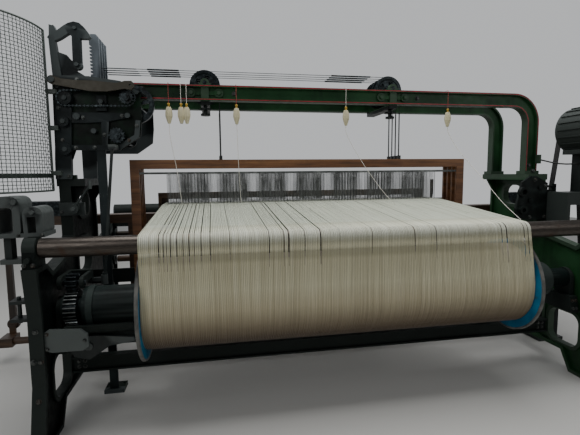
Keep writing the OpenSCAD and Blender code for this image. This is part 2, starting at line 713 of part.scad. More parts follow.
// The post under the head, with a foot on the floor.
module dobby_post() {
    difference() {
        union() {
            translate([-1322, near_y - plate_t + 2, 22]) cube([46, 14, 1400 - 22]);
            translate([-1306, near_y - plate_t + 16, 22]) cube([14, 40, 1390 - 22]);
            translate([-1350, near_y - plate_t - 20, 0]) cube([110, 100, 22]);
        }
        for (x = [-1336, -1254]) translate([x, near_y + 30, -1]) cylinder(h = 30, r = 7);
    }
}
module dobby_wheel() {
    y0 = near_y + 31;
    color(dark_steel) translate([wheel_at[0], y0, wheel_at[1]]) rotate([90, 0, 0]) {
        difference() {
            cylinder(h = 24, r = 106, $fn = 96);
            translate([0, 0, -1]) cylinder(h = 26, r = 79, $fn = 96);
        }
        for (a = [15:60:359]) rotate(a) translate([20, -9, 4]) cube([64, 18, 14]);
        cylinder(h = 26, r = 30);
        translate([0, 0, -(far_y + plate_t - y0 + 8)])
            cylinder(h = far_y + plate_t - y0 + 12, r = 16);
    }
}
// Short-toothed chain wheel: the teeth stop under the chain's rollers.
module sprocket(at, r, n) {
    y0 = near_y - plate_t - 12;
    translate([at[0], y0, at[1]]) rotate([90, 0, 0]) {
        linear_extrude(8) polygon([for (i = [0:n - 1])
            for (q = [[-0.5, 0], [-0.24, 0], [-0.12, 6], [0.12, 6], [0.24, 0]])
            let (t = (i + q[0]) * 360 / n) [(r + q[1]) * cos(t), (r + q[1]) * sin(t)]]);
        cylinder(h = 20, r = r * 0.55);
        cylinder(h = 26, r = r * 0.25);
    }
}
module upper_sprocket() {
    color(dark_steel) {
        sprocket(sprocket_at, 33, 14);
        rod_y(near_y - plate_t - 12, near_y, sprocket_at[0], sprocket_at[1], 12);
    }
}
module lower_sprocket() {
    color(dark_steel) {
        sprocket(low_at, 38, 16);
        rod_y(near_y - plate_t - 12, far_y + plate_t, low_at[0], low_at[1], 12);
        // Two lags of the pattern cylinder between the plates
        for (y = [heald_place(0), heald_place(3)]) rod_y(y - 8, y + 8, low_at[0], low_at[1], 46);
        for (a = [0:60:359]) translate([low_at[0], 0, low_at[1]]) rotate([0, a, 0])
            rod_y(heald_place(0) - 14, heald_place(3) + 14, 37, 0, 6);
    }
}
// Roller chain from the left boss round the upper sprocket.
chain_a = dobby_bosses[0];
chain_ra = 40;
chain_rb = 46;
module dobby_chain() {
    a = [chain_a[0], chain_a[1]];
    b = sprocket_at;
    d = b - a;
    tilt = atan2(d[1], d[0]);
    lean = asin((chain_rb - chain_ra) / norm(d));
    runs = [for (s = [-1, 1]) let (u = [cos(tilt + s * (90 + lean)), sin(tilt + s * (90 + lean))])
        [a + u * chain_ra, b + u * chain_rb]];
    steps = 16;
    pins = concat(
        [for (w = runs) for (i = [0:steps]) w[0] + (w[1] - w[0]) * i / steps],
        [for (k = [1:6]) let (t = tilt + 90 + lean + k * (180 - 2 * lean) / 7)
            a + [cos(t), sin(t)] * chain_ra],
        [for (k = [1:7]) let (t = tilt - 90 - lean + k * (180 + 2 * lean) / 8)
            b + [cos(t), sin(t)] * chain_rb]);
    color(dark_steel) translate([0, near_y - plate_t - 11, 0]) rotate([90, 0, 0]) {
        linear_extrude(10) for (p = pins) translate(p) circle(5.2, $fn = 16);
        translate([0, 0, 3]) linear_extrude(4) {
            for (w = runs) link(w[0], w[1], 4);
            difference() {
                union() {
                    translate(a) circle(chain_ra + 2);
                    translate(b) circle(chain_rb + 2);
                }
                translate(a) circle(chain_ra - 2);
                translate(b) circle(chain_rb - 2);
                polygon([runs[0][0], runs[0][1], runs[1][1], runs[1][0]]);
            }
        }
    }
}
// Long latch lever over the chain, thick at its pivot and rounded at its free end.
module latch_lever() {
    y1 = near_y - plate_t - 34;
    color(brass_brown) difference() {
        along_y(y1 - 20, y1) {
            polygon([[-1510, 1733], [-1435, 1721], [-1327, 1702], [-1243, 1702], [-1149, 1719],
                     [-1116, 1713], [-1101, 1730], [-1100, 1747], [-1113, 1761], [-1147, 1760],
                     [-1190, 1747], [-1296, 1756], [-1387, 1756], [-1464, 1763], [-1507, 1778]]);
            translate([-1508, 1756]) circle(22);
        }
        rod_y(y1 - 40, y1 + 10, -1508, 1756, 9 + clear / 5);
        rod_y(y1 - 40, y1 + 10, -1122, 1738, 5);
    }
}
// The bow on top of the head, its strut and the pivot of the latch lever.
module top_bow() {
    color(iron) {
        along_y(near_y - 12, near_y + 22) {
            polygon([[-1539, 1986], [-1529, 1999], [-1526, 2053], [-1510, 2049], [-1505, 2052],
                     [-1492, 2022], [-1456, 2050], [-1432, 2065], [-1404, 2074], [-1376, 2068],
                     [-1354, 2048], [-1337, 2025], [-1324, 2001], [-1334, 1989], [-1376, 1988],
                     [-1378, 1850], [-1420, 1850], [-1417, 1997], [-1430, 2013], [-1440, 2008],
                     [-1473, 1985], [-1504, 1969], [-1528, 1976]]);
            polygon([[-1532, 1980], [-1500, 1968], [-1480, dobby_t], [-1524, dobby_t]]);
            translate([-1399, 1850]) circle(24);
        }
        along_y(near_y, near_y + 14) polygon([[-1524, dobby_t], [-1360, dobby_t], [-1370, 1800],
            [-1404, 1821], [-1399, 1850], [-1436, 1884], [-1451, 1903], [-1501, 1920]]);
        rod_y(near_y - 30, near_y + 30, -1399, 1850, 11);
        rod_y(near_y - 22, near_y + 32, -1400, 2040, 9);
        rod_y(near_y - plate_t - 60, near_y - plate_t, -1508, 1756, 9);
        rod_y(near_y - plate_t - 66, near_y - plate_t - 57, -1508, 1756, 15);
    }
}

guard_b = 1180;
guard_t = 2010;
guard_wire = 3;
guard_at = [dobby_l - guard_r - 6, near_y - plate_t - 20];
// Curved guard of woven wire beside the head; the stays bolt it to the left upright.
module wire_guard() {
    rows = 12;
    color(iron) translate([guard_at[0], guard_at[1], 0]) {
        for (i = [0:rows]) translate([0, 0, guard_b + i * (guard_t - guard_b) / rows - 3])
            linear_extrude(6) intersection() {
                difference() {
                    circle(guard_r + guard_wire, $fn = 96);
                    circle(guard_r - guard_wire, $fn = 96);
                }
                polygon([[0, 0], [2 * guard_r, 0], [2 * guard_r, -2 * guard_r], [-150, -2 * guard_r]]);
            }
        for (a = [0:-10:-100]) rotate(a) translate([guard_r, 0, guard_b - 3])
            cylinder(h = guard_t - guard_b + 6, r = a == 0 || a == -100 ? 6 : 4, $fn = 16);
    }
    color(iron) for (z = [1260, 1500, 1690])
        translate([dobby_l - 14, near_y - plate_t - 22, z]) cube([50, 22, 24]);
}
// The open casting in front of the left frame and the bracket beside it.
module pick_castings() {
    web_face = -outer + (frame_flange + frame_web) / 2;
    rod_y_at = near_y - plate_t - 70;
    color(steel) along_y(-640, -500) {
        difference() {
            pane([-1630, 1070], 124, 190, 38);
            pane([-1630, 1044], 62, 142, 20);
        }
        difference() {
            pane([-1516, 1046], 84, 140, 34);
            translate([-1540, 996]) square([36, 74]);
        }
    }
    color(iron) {
        along_y(-640, -500) translate([-1690, 976]) square([220, 20]);
        translate([-outer - 4 - 140, -620, 850]) cube([140 + 4, 90, 22]);
        translate([-outer - 40, -610, 850]) cube([40, 70, 130]);
        translate([-outer - 130, -600, 870]) cube([30, 50, 108]);
        rod_y(-652, -640, -1588, 1140, 12);
        rod_y(-652, -640, -1516, 1092, 10);
        // Two lugs and their pin outside the leg
        for (z = [608, 690]) translate([-outer - 70, roller_y - 36, z]) cube([70, 64, 14]);
        rod_z(596, 718, -outer - 42, roller_y - 2, 9);
        // Shelf in front of the drum's bearing
        along_y(roller_y - 26, roller_y - 10)
            polygon([[-inner, 462], [-inner, 548], [-1452, 560], [-1318, 552], [-1288, 528], [-1284, 470],
                     [-1310, 452], [-1440, 452]]);
        // Brake lever under the drum
        along_y(beam_y - 62, beam_y - 46)
            polygon([[-1420, 404], [-1420, 458], [-1300, 462], [-1200, 450], [-1112, 440], [-1112, 420],
                     [-1230, 404], [-1330, 340], [-1400, 360]]);
        rod_y(beam_y - 70, beam_y - 46, -1330, 410, 20);
    }
    // Stay rod of the dobby head, from a lug on its plate to an arm on the frame
    color(steel) rod_between([-1300, rod_y_at, 690], [-1224, rod_y_at, 1412], 8);
    color(iron) {
        translate([-1242, rod_y_at - 15, 1398]) cube([36, 85, 24]);
        translate([web_face, rod_y_at - 12, 682]) cube([-1300 - web_face, 24, 20]);
        rod_z(664, 716, -1300, rod_y_at, 18);
        rod_z(716, 730, -1298, rod_y_at, 13);
        // Bracket and set rod below the head
        translate([-outer, arch_back_y - 94, 1040]) cube([outer - 1400, 18, 70]);
        rod_y(arch_back_y - 132, arch_back_y - 94, -1448, 1078, 26);
        rod_y(arch_back_y - 142, arch_back_y - 94, -1448, 1078, 11);
        rod_z(1186, 1232, -1357, arch_back_y - 122, 9);
    }
    color(steel) rod_between([-1448, arch_back_y - 122, 1078], [-1357, arch_back_y - 122, 1206], 6);
}

// Wooden frame, two steel bars and a heddle in every gap of the warp.
module heald_shaft(i) {
    y = heald_place(i);
    h = heald_top - heald_bottom;
    color(wood) translate([0, y, 0]) along_y(-heald_t / 2, heald_t / 2) difference() {
        translate([hx - heald_w / 2, heald_bottom]) square([heald_w, h]);
        translate([hx - heald_w / 2 + stave, heald_bottom + stave])
            square([heald_w - 2 * stave, h - 2 * stave]);
    }
    color(steel) {
        for (z = [heald_bottom + stave + 20, heald_top - stave - 34])
            translate([hx - heald_w / 2 + stave - 6, y - 1.5, z]) cube([heald_w - 2 * stave + 12, 3, 12]);
        for (k = [0:dents]) translate([dent_x(k) - heddle_t / 2, y - 1, heald_bottom + stave + 24])
            cube([heddle_t, 2, h - 2 * stave - 50]);
        // Hooks and hangers up to the sheaves
        for (x = [sheave_x_left, sheave_x_right]) {
            translate([x + sheave_r + 2 - 9, y - 10, heald_top]) cube([18, 22, 24]);
            rod_z(heald_top + 20, sheave_z, x + sheave_r + 2, y + cord_off, cord_r);
            rod_z(heald_top + 20, sheave_z - sheave_r - 60, x + sheave_r + 2, y + cord_off, 4);
        }
    }
}
module heald_shaft_1() { heald_shaft(0); }
module heald_shaft_2() { heald_shaft(1); }
module heald_shaft_3() { heald_shaft(2); }
module heald_shaft_4() { heald_shaft(3); }

// A notched harness jack: the notches hook the harness cords, the pivot is low.
module jack(i) {
    y = heald_place(i);
    color(dark_steel) difference() {
        union() {
            along_y(y - jack_t / 2, y + jack_t / 2) difference() {
                polygon([[jack_x - 20, jack_z], [jack_x - 38, jack_z + 240], [jack_x - 38, jack_top - 10],
                         [jack_x - 28, jack_top], [jack_x, jack_top], [jack_x + 14, jack_top - 16],
                         [jack_x + 14, jack_z + 240], [jack_x + 20, jack_z]]);
                for (k = [0:8]) translate([jack_x - 38, 1836 + k * 19])
                    polygon([[-8, 12], [17, 0], [-8, -4]]);
            }
            rod_y(y - 16, y + 16, jack_x, jack_z, 30);
        }
        rod_y(y - 40, y + 40, jack_x, jack_z, 14);
    }
}
module jack_1() { jack(0); }
module jack_2() { jack(1); }
module jack_3() { jack(2); }
module jack_4() { jack(3); }
module harness_rod(i) {
    y = heald_place(i);
    color(dark_steel) {
        rod_x(jack_x + 18, -1120, y + cord_off, rod_z, 3);
        rod_x(-1060, -880, y + cord_off, rod_z, 5);
        rod_x(60, 320, y + cord_off, rod_z, 5);
        rod_x(-1120, sheave_x_right, y + cord_off, rod_z, cord_r);
    }
}
module harness_rod_1() { harness_rod(0); }
module harness_rod_2() { harness_rod(1); }
module harness_rod_3() { harness_rod(2); }
module harness_rod_4() { harness_rod(3); }

box_x0 = overall_w / 2 - box_l;
race_t = 60;
module sley() {
    color(wood) {
        translate([-overall_w / 2, reed_y, race_z - race_t]) cube([overall_w, race_d, race_t]);
        translate([hx - 980, reed_y - 14, race_z + reed_h]) cube([1960, 36, 36]);
    }
    color(iron) {
        for (s = [-1, 1]) {
            along_x(s > 0 ? 1230 : -1280, s > 0 ? 1280 : -1230)
                polygon([[rock_y - 44, rock_z], [rock_y + 44, rock_z], [rock_y + 40, race_z - race_t],
                         [rock_y - 30, race_z - race_t]]);
            rod_x(s > 0 ? 1230 : -1280, s > 0 ? 1280 : -1230, rock_y, rock_z, 52);
            rod_x(s > 0 ? 1180 : -1236, s > 0 ? 1236 : -1180, pin_y + 4, crank_z, 14);
            // End of the reed's cap
            translate([hx + s * 970 - 10, reed_y - 14, race_z]) cube([20, 36, reed_h]);
            // Rocker that carries the picking stick's pin
            translate([s * stick_x - 40, rock_y - 40, rock_z - 30]) cube([80, race_d + 10, 60]);
            rod_y(rock_y + race_d - 40, rock_y + race_d + 8, s * stick_x, stick_z, 14);
            rod_y(rock_y + race_d - 40, rock_y + race_d - 30, s * stick_x, stick_z, 28);
            translate([s * stick_x - 20, rock_y + race_d - 44, rock_z]) cube([40, 14, stick_z - rock_z]);
        }
        rod_x(-stick_x - 30, stick_x + 30, rock_y, rock_z, 24);
    }
}
reed_t = 4;
module reed() {
    color(steel) translate([0, reed_y + 2, 0]) along_y(0, reed_t) difference() {
        translate([hx - 960, race_z]) square([1920, reed_h]);
        for (i = [0:dents - 1]) translate([dent_x(i) + 1.5, race_z + 8])
            square([dent_pitch - 3, reed_h - 16]);
        for (x = [hx - warp_in / 2 - 3, dent_x(dents) + 1.5]) translate([x, race_z + 8])
            square([(warp_in - dents * dent_pitch) / 2 + 1.5, reed_h - 16]);
    }
}
module shuttle_boxes() {
    color(dark_steel) for (s = [-1, 1]) {
        x0 = s > 0 ? box_x0 : -overall_w / 2;
        difference() {
            translate([x0, reed_y, race_z]) cube([box_l, race_d, 96]);
            translate([x0 - 1, reed_y + 16, race_z - 1]) cube([box_l + 2, race_d - 32, 57]);
            translate([x0 + 60, reed_y + 26, race_z - 1]) cube([box_l - 120, 24, 98]);
            translate([x0 + 30, reed_y + race_d - 20, race_z + 22]) cube([box_l - 60, 40, 22]);
        }
    }
}
module shuttle() {
    y = reed_y + race_d / 2;
    z = race_z + 17 + seat;
    x0 = -overall_w / 2 + 100;
    color("#b98a4e") translate([x0, y, z]) rotate([0, 90, 0]) intersection() {
        rotate_extrude($fn = 32) polygon([[0, 0], [3, 0], [19, 60], [19, shuttle_l - 60], [3, shuttle_l], [0, shuttle_l]]);
        translate([-17, -30, -1]) cube([34, 60, shuttle_l + 2]);
    }
}
stick_x = overall_w / 2 - 60;
stick_z = 240;
module picking_stick(s) {
    y = rock_y + race_d - 26;
    color(wood) difference() {
        union() {
            translate([s * stick_x, 0, 0]) along_y(y, y + 24)
                polygon([[-22, stick_z], [22, stick_z], [16, race_z + 110], [-16, race_z + 110]]);
            rod_y(y - 2, y + 26, s * stick_x, stick_z, 38);
        }
        rod_y(y - 20, y + 60, s * stick_x, stick_z, 14 + clear / 5);
    }
}
module picking_stick_left() { picking_stick(-1); }
module picking_stick_right() { picking_stick(1); }

module crank_gear(n, x, y, z, turn, w, bore) {
    difference() {
        translate([x, y, z]) rotate([90, 0, 90]) linear_extrude(w)
            polygon(gear_outline(n, shaft_module, turn));
        rod_x(x - 1, x + w + 1, y, z, bore - 1);
    }
}
mesh_angle = atan2(bottom_z - crank_z, bottom_y - crank_y);
module crankshaft() {
    color(steel) {
        for (s = [-1, 1]) {
            rod_x(s > 0 ? 1240 : -outer - 160, s > 0 ? outer + 160 : -1240, crank_y, crank_z, shaft_r);
            for (x = [1234, 1142])
                rod_x(s > 0 ? x : -x - 20, s > 0 ? x + 20 : -x, crank_y, crank_z, 58);
            rod_x(s > 0 ? 1150 : -1240, s > 0 ? 1240 : -1150, crank_y - crank_throw, crank_z, 12);
        }
        rod_x(-1150, 1150, crank_y, crank_z, shaft_r);
        crank_gear(crank_teeth, gear_x, crank_y, crank_z, mesh_angle, 40, shaft_r);
    }
}
module crank_arms() {
    a = [pin_y + 4, crank_z];
    // The fork lies open round the crank pin's path
    fork = crank_throw + 14;
    color(iron) for (x = [-1202, 1188]) difference() {
        along_x(x, x + 14) {
            link(a, [crank_y + fork + 24, crank_z], 36);
            translate(a) circle(32);
            translate([crank_y, crank_z]) circle(fork + 16);
        }
        rod_x(x - 1, x + 40, a[0], a[1], 14 + clear / 5);
        rod_x(x - 1, x + 40, crank_y, crank_z, fork);
        translate([x - 1, crank_y - 200, crank_z - 100]) cube([40, 200, 200]);
    }
}
module bottom_shaft() {
    color(steel) {
        rod_x(-outer - 30, outer + 30, bottom_y, bottom_z, shaft_r);
        crank_gear(2 * crank_teeth, gear_x, bottom_y, bottom_z,
                   mesh_angle + 180 + 90 / crank_teeth, 40, shaft_r);
    }
    // Picking tappets near each end
    color(iron) for (x = [-1400, 1330]) along_x(x, x + 40) translate([bottom_y, bottom_z])
        difference() {
            union() {
                circle(62);
                rotate(30) polygon([[0, -60], [96, -22], [110, 10], [70, 48], [0, 60]]);
            }
            circle(shaft_r - 1);
        }
}

module take_up_roller() {
    color(steel) {
        rod_x(-1040, 1040, take_up_y, take_up_z, take_up_r);
        rod_x(-outer - 30, -1040, take_up_y, take_up_z, 18);
        rod_x(1040, outer + 90, take_up_y, take_up_z, 18);
        rod_x(outer + 10, outer + 40, take_up_y, take_up_z, 46);
    }
}
cloth_y = take_up_y - 60;
cloth_z = 610;
cloth_r = 84;
module cloth_roller() {
    color(wood) {
        rod_x(-1100, 1100, cloth_y, cloth_z, cloth_r);
        rod_x(-inner + 20, inner - 20, cloth_y, cloth_z, 24);
    }
}

module start_handle() {
    y = handle_y;
    color(steel) difference() {
        union() {
            along_x(handle_x, handle_x + 14) link([y, 700], [y - 56, 1080], 26);
            rod_z(1070, 1200, handle_x + 7, y - 56, 15);
            rod_x(handle_x - 6, handle_x + 20, y, 700, 26);
        }
        rod_x(handle_x - 30, handle_x + 60, y, 700, 10 + clear / 5);
    }
}

wheel_x = -outer - 100;
module hand_wheel() {
    color(dark_steel) translate([wheel_x, crank_y, crank_z]) rotate([0, 90, 0]) {
        difference() {
            cylinder(h = 50, r = hand_wheel_r, $fn = 96);
            translate([0, 0, -1]) cylinder(h = 52, r = hand_wheel_r - 30, $fn = 96);
        }
        for (a = [0:60:359]) rotate(a) translate([30, -13, 14]) cube([hand_wheel_r - 54, 26, 22]);
        difference() {
            cylinder(h = 50, r = 44);
            translate([0, 0, -1]) cylinder(h = 52, r = shaft_r);
        }
    }
}
motor_at = [1760, 1530];
motor_y0 = -470;
motor_y1 = -210;
belt_y = -190;
belt_w = 44;
pulley_r = 62;
drive_r = 190;
case_x = outer + 130;
// The motor lies along Y on a bracket outside the right frame; the bevel case under it turns the crankshaft.
module motor() {
    color(dark_steel) {
        rod_y(motor_y0, motor_y1, motor_at[0], motor_at[1], motor_r);
        rod_y(motor_y0 - 24, motor_y0, motor_at[0], motor_at[1], motor_r - 16);
        rod_y(motor_y0 - 36, motor_y0 - 24, motor_at[0], motor_at[1], 46);
        for (a = [0:18:359]) translate([motor_at[0], motor_y0 + 20, motor_at[1]]) rotate([0, a, 0])
            translate([motor_r - 4, 0, -3]) cube([12, motor_y1 - motor_y0 - 40, 6]);
        translate([motor_at[0] - 110, motor_y0 + 32, motor_at[1] - motor_r - 12])
            cube([220, motor_y1 - motor_y0 - 64, 30]);
        // Column down to the arm, the arm and its flange on the side frame
        translate([motor_at[0] - 70, motor_y0 + 50, 1110]) cube([140, 140, motor_at[1] - motor_r - 1115]);
        translate([outer, motor_y0 + 40, 1040]) cube([motor_at[0] + 90 - outer, 160, 80]);
        translate([outer, motor_y0 + 40, 900]) cube([24, arch_back_y + 60 - motor_y0, 220]);
        // Bevel case on its bracket
        difference() {
            translate([case_x, crank_y - 60, crank_z - 90]) cube([180, 150, 180]);
            rod_x(case_x - 1, case_x + 60, crank_y, crank_z, shaft_r + clear / 5);
            rod_y(crank_y - 61, crank_y - 20, case_x + 90, crank_z, 20 + clear / 5);
        }
        translate([case_x + 20, crank_y - 50, 10]) cube([140, 130, crank_z - 90]);
        translate([case_x - 10, crank_y - 70, 0]) cube([200, 170, 22]);
        translate([outer, crank_y - 30, 250]) cube([case_x + 40 - outer, 60, 60]);
    }
}
module pulley_ring(at, r) {
    rod_y(belt_y, belt_y + belt_w, at[0], at[1], r);
    rod_y(belt_y - 5, belt_y - 1, at[0], at[1], r + 5);
    rod_y(belt_y + belt_w + 1, belt_y + belt_w + 5, at[0], at[1], r + 5);
}
module motor_pulley() {
    color(steel) {
        rod_y(motor_y1 + 2, belt_y + belt_w + 5, motor_at[0], motor_at[1], 22);
        pulley_ring(motor_at, pulley_r);
        rod_y(belt_y - 6, belt_y + belt_w + 6, motor_at[0], motor_at[1], pulley_r - 4);
    }
}
module drive_pulley() {
    at = [case_x + 90, crank_z];
    color(iron) {
        difference() {
            union() {
                pulley_ring(at, drive_r);
                rod_y(belt_y - 2, belt_y + belt_w + 2, at[0], at[1], drive_r - 4);
            }
            rod_y(belt_y - 30, belt_y + belt_w + 30, at[0], at[1], drive_r - 26);
        }
        for (a = [0:60:359]) translate([at[0], belt_y + 12, at[1]]) rotate([0, a, 0])
            translate([20, 0, -12]) cube([drive_r - 40, 20, 24]);
        rod_y(belt_y - 10, belt_y + belt_w + 10, at[0], at[1], 44);
        rod_y(belt_y - 10, crank_y - 40, at[0], at[1], 20);
    }
}
module belt_loop(d) {
    a = motor_at;
    b = [case_x + 90, crank_z];
    v = b - a;
    t = atan2(v[1], v[0]);
    lean = asin((drive_r - pulley_r) / norm(v));
    u = [for (s = [-1, 1]) [cos(t + s * (90 + lean)), sin(t + s * (90 + lean))]];
    translate(a) circle(pulley_r + d);
    translate(b) circle(drive_r + d);
    polygon([a + u[0] * (pulley_r + d), b + u[0] * (drive_r + d),
             b + u[1] * (drive_r + d), a + u[1] * (pulley_r + d)]);
}
module drive_belt() {
    color("#1b1b1b") along_y(belt_y + 1, belt_y + belt_w - 1) difference() {
        belt_loop(seat + 5);
        belt_loop(seat);
    }
}

// A round cable swept along hand-chosen points, as one closed skin.
cable_points = [[1497, -213, 1335], [1509, -213, 1335], [1529, -222, 1329], [1545, -232, 1324], [1561, -244, 1318],
    [1577, -259, 1313], [1594, -274, 1308], [1610, -288, 1306], [1626, -303, 1304],
    [1642, -315, 1304], [1658, -325, 1304], [1678, -334, 1306], [1690, -334, 1306]];
// The box end of the lead follows the arch.
lead_shift = arch_back_y + 168;
lead = [for (i = [0:len(cable_points) - 1])
    cable_points[i] + [0, lead_shift * (1 - i / (len(cable_points) - 1)), 0]];
cable_r = 5;
module motor_cable() {
    n = len(lead);
    ring = 10;
    function go(i) = unit(lead[min(n - 1, i + 1)] - lead[max(0, i - 1)]);
    function side(i) = unit(cross(go(i), [0.3, 1, 0.1]));
    pts = [for (i = [0:n - 1]) for (k = [0:ring - 1])
        let (a = 360 * k / ring, u = side(i), v = cross(go(i), u))
        lead[i] + cable_r * (cos(a) * u + sin(a) * v)];
    faces = concat(
        [[for (k = [0:ring - 1]) k]],
        [for (i = [0:n - 2]) for (k = [0:ring - 1])
            [i * ring + k, (i + 1) * ring + (k + 1) % ring, i * ring + (k + 1) % ring]],
        [for (i = [0:n - 2]) for (k = [0:ring - 1])
            [i * ring + k, (i + 1) * ring + k, (i + 1) * ring + (k + 1) % ring]],
        [[for (k = [0:ring - 1]) (n - 1) * ring + ring - 1 - k]]);
    color("#222222") polyhedron(pts, faces);
}

pirn_x = [-934, -862, -838, -551, 117, 800];
// Spare pirns that hang by strings from the arch's upper edge.
module spare_pirns() {
    y = arch_back_y - arch_flange / 2 - 24;
    color(cream) for (x = pirn_x) {
        translate([x, y, 1548]) cylinder(h = 46, r1 = 9, r2 = 21);
        translate([x, y, 1594]) cylinder(h = 46, r1 = 21, r2 = 13);
        translate([x, y, 1640]) cylinder(h = 18, r = 9);
        translate([x, y, 1656]) cylinder(h = arch_top + 4 - 1656, r = 1.5, $fn = 16);
        translate([x, y + 1.4, arch_top + 1.6]) rotate([-90, 0, 0]) cylinder(h = 40, r = 1.5, $fn = 16);
    }
}

side_frame_left();
side_frame_right();
arches();
cross_rails();
breast_beam();
sheave_brackets();
sheaves_left();
sheaves_right();
harness_cords();
backrest_brackets();
back_roller();
warp_beam();
beam_flanges();
warp_yarn();
beam_gear();
let_off_pinion();
beam_cradles();
warp_sheet();
cloth();
dobby_near_plate();
dobby_far_plate();
dobby_wheel();
upper_sprocket();
lower_sprocket();
dobby_chain();
latch_lever();
top_bow();
wire_guard();
pick_castings();
heald_shaft_1();
heald_shaft_2();
heald_shaft_3();
heald_shaft_4();
jack_1();
jack_2();
jack_3();
jack_4();
harness_rod_1();
harness_rod_2();
harness_rod_3();
harness_rod_4();
sley();
reed();
shuttle_boxes();
shuttle();
picking_stick_left();
picking_stick_right();
crankshaft();
crank_arms();
bottom_shaft();
take_up_roller();
cloth_roller();
start_handle();
hand_wheel();
motor();
motor_pulley();
drive_belt();
drive_pulley();
motor_cable();
spare_pirns();
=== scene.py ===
# %% [markdown]
# # A wide power loom, dressed in Blender
#
# The loom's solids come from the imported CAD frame. This script adds what CAD leaves out: the thousands of
# warp threads, the woven-wire guard, the painted lines on the arches, the hanging pirns, and a procedural
# material for every surface. Lengths in the comments are in millimetres; Blender itself works in metres.

# %%
import bpy
import math
import random
from mathutils import Matrix, Vector


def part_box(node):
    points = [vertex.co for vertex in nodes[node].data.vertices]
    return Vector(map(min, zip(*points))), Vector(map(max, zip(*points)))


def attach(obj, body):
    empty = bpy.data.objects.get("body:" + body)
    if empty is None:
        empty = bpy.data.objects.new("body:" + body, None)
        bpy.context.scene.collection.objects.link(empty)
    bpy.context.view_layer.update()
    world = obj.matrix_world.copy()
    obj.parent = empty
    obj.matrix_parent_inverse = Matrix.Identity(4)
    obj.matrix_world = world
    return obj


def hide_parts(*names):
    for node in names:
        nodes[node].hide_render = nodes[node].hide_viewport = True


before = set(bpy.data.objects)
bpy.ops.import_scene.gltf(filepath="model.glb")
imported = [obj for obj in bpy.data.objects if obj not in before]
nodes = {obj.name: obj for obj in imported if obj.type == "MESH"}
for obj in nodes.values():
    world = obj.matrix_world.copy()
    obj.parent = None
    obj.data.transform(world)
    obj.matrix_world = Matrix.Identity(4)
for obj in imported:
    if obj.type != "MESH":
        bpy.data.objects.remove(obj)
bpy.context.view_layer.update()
random.seed(7)

# %% [markdown]
# ## Small tools
#
# `mm` turns millimetres into metres. `box_mm` reads where a CAD node is, so a piece that is placed from it
# follows the frame when a size changes. `mesh_object` makes an object from points and faces and lets it
# ride on a body.

# %%
def mm(*values):
    out = [v / 1000 for v in values]
    return out[0] if len(out) == 1 else out


def box_mm(node):
    low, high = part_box(node)
    return [v * 1000 for v in low], [v * 1000 for v in high]


def arc(y, z, radius, angles):
    """Points (y, z) round a centre, at angles in degrees from the +Y direction."""
    return [(y + radius * math.cos(math.radians(a)), z + radius * math.sin(math.radians(a))) for a in angles]


def mesh_object(name, points, faces, body="frame", smooth=False, uvs=None):
    mesh = bpy.data.meshes.new(name)
    mesh.from_pydata([tuple(mm(*p)) for p in points], [], faces)
    if uvs:
        layer = mesh.uv_layers.new(name="UVMap")
        for loop in mesh.loops:
            layer.data[loop.index].uv = uvs[loop.vertex_index]
    for polygon in mesh.polygons:
        polygon.use_smooth = smooth
    obj = bpy.data.objects.new(name, mesh)
    bpy.context.collection.objects.link(obj)
    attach(obj, body)
    return obj


print("tools ready")

# %% [markdown]
# ## The camera
#
# The photographer stood about two metres behind the back rest roller, left of the middle, and looked a
# little to the right and down. The place and the angles come from fitting the roller, the flanges, the warp
# and the arch to their pixels.

# %%
CAMERA_AT = (-690.8, -2702.3, 1253.0)
YAW, PITCH, ROLL = 10.32, 5.96, -0.57
FOCAL_PX, PHOTO_WIDTH_PX, SENSOR = 412.34, 580, 36
yaw, pitch, roll = (math.radians(a) for a in (YAW, PITCH, ROLL))
forward = Vector((math.sin(yaw) * math.cos(pitch), math.cos(yaw) * math.cos(pitch), -math.sin(pitch)))
right = Vector((math.cos(yaw), -math.sin(yaw), 0))
up = right.cross(forward)
right_rolled = right * math.cos(roll) + up * math.sin(roll)
up_rolled = up * math.cos(roll) - right * math.sin(roll)
turn = Matrix((right_rolled, up_rolled, -forward)).transposed()

lens = bpy.data.cameras.new("camera")
lens.sensor_fit = "HORIZONTAL"
lens.sensor_width = SENSOR
lens.lens = FOCAL_PX / PHOTO_WIDTH_PX * SENSOR
lens.clip_end = 60
camera = bpy.data.objects.new("camera", lens)
camera.matrix_world = Matrix.Translation(mm(*CAMERA_AT)) @ turn.to_4x4()
bpy.context.collection.objects.link(camera)
bpy.context.scene.camera = camera
print("camera lens in mm:", round(lens.lens, 2))

# %% [markdown]
# ## Floor and light
#
# A plain pale floor, a surround that is brighter behind the loom than behind the camera, and wide soft
# lights. The strongest light is overhead, as in a mill, so the top of the warp is the brightest surface.

# %%
def srgb(code):
    """A hex colour as linear RGBA."""
    values = [int(code[i:i + 2], 16) / 255 for i in (1, 3, 5)]
    return [v / 12.92 if v <= 0.04045 else ((v + 0.055) / 1.055) ** 2.4 for v in values] + [1]


floor_mesh = bpy.data.meshes.new("floor")
floor_mesh.from_pydata([(-9, -7, 0), (9, -7, 0), (9, 12, 0), (-9, 12, 0)], [], [(0, 1, 2, 3)])
floor = bpy.data.objects.new("floor", floor_mesh)
bpy.context.collection.objects.link(floor)
floor_paint = bpy.data.materials.new("floor_paint")
floor_paint.use_nodes = True
floor_shader = floor_paint.node_tree.nodes["Principled BSDF"]
floor_shader.inputs["Base Color"].default_value = srgb("#c9c8c4")
floor_shader.inputs["Roughness"].default_value = 0.7
floor_mesh.materials.append(floor_paint)

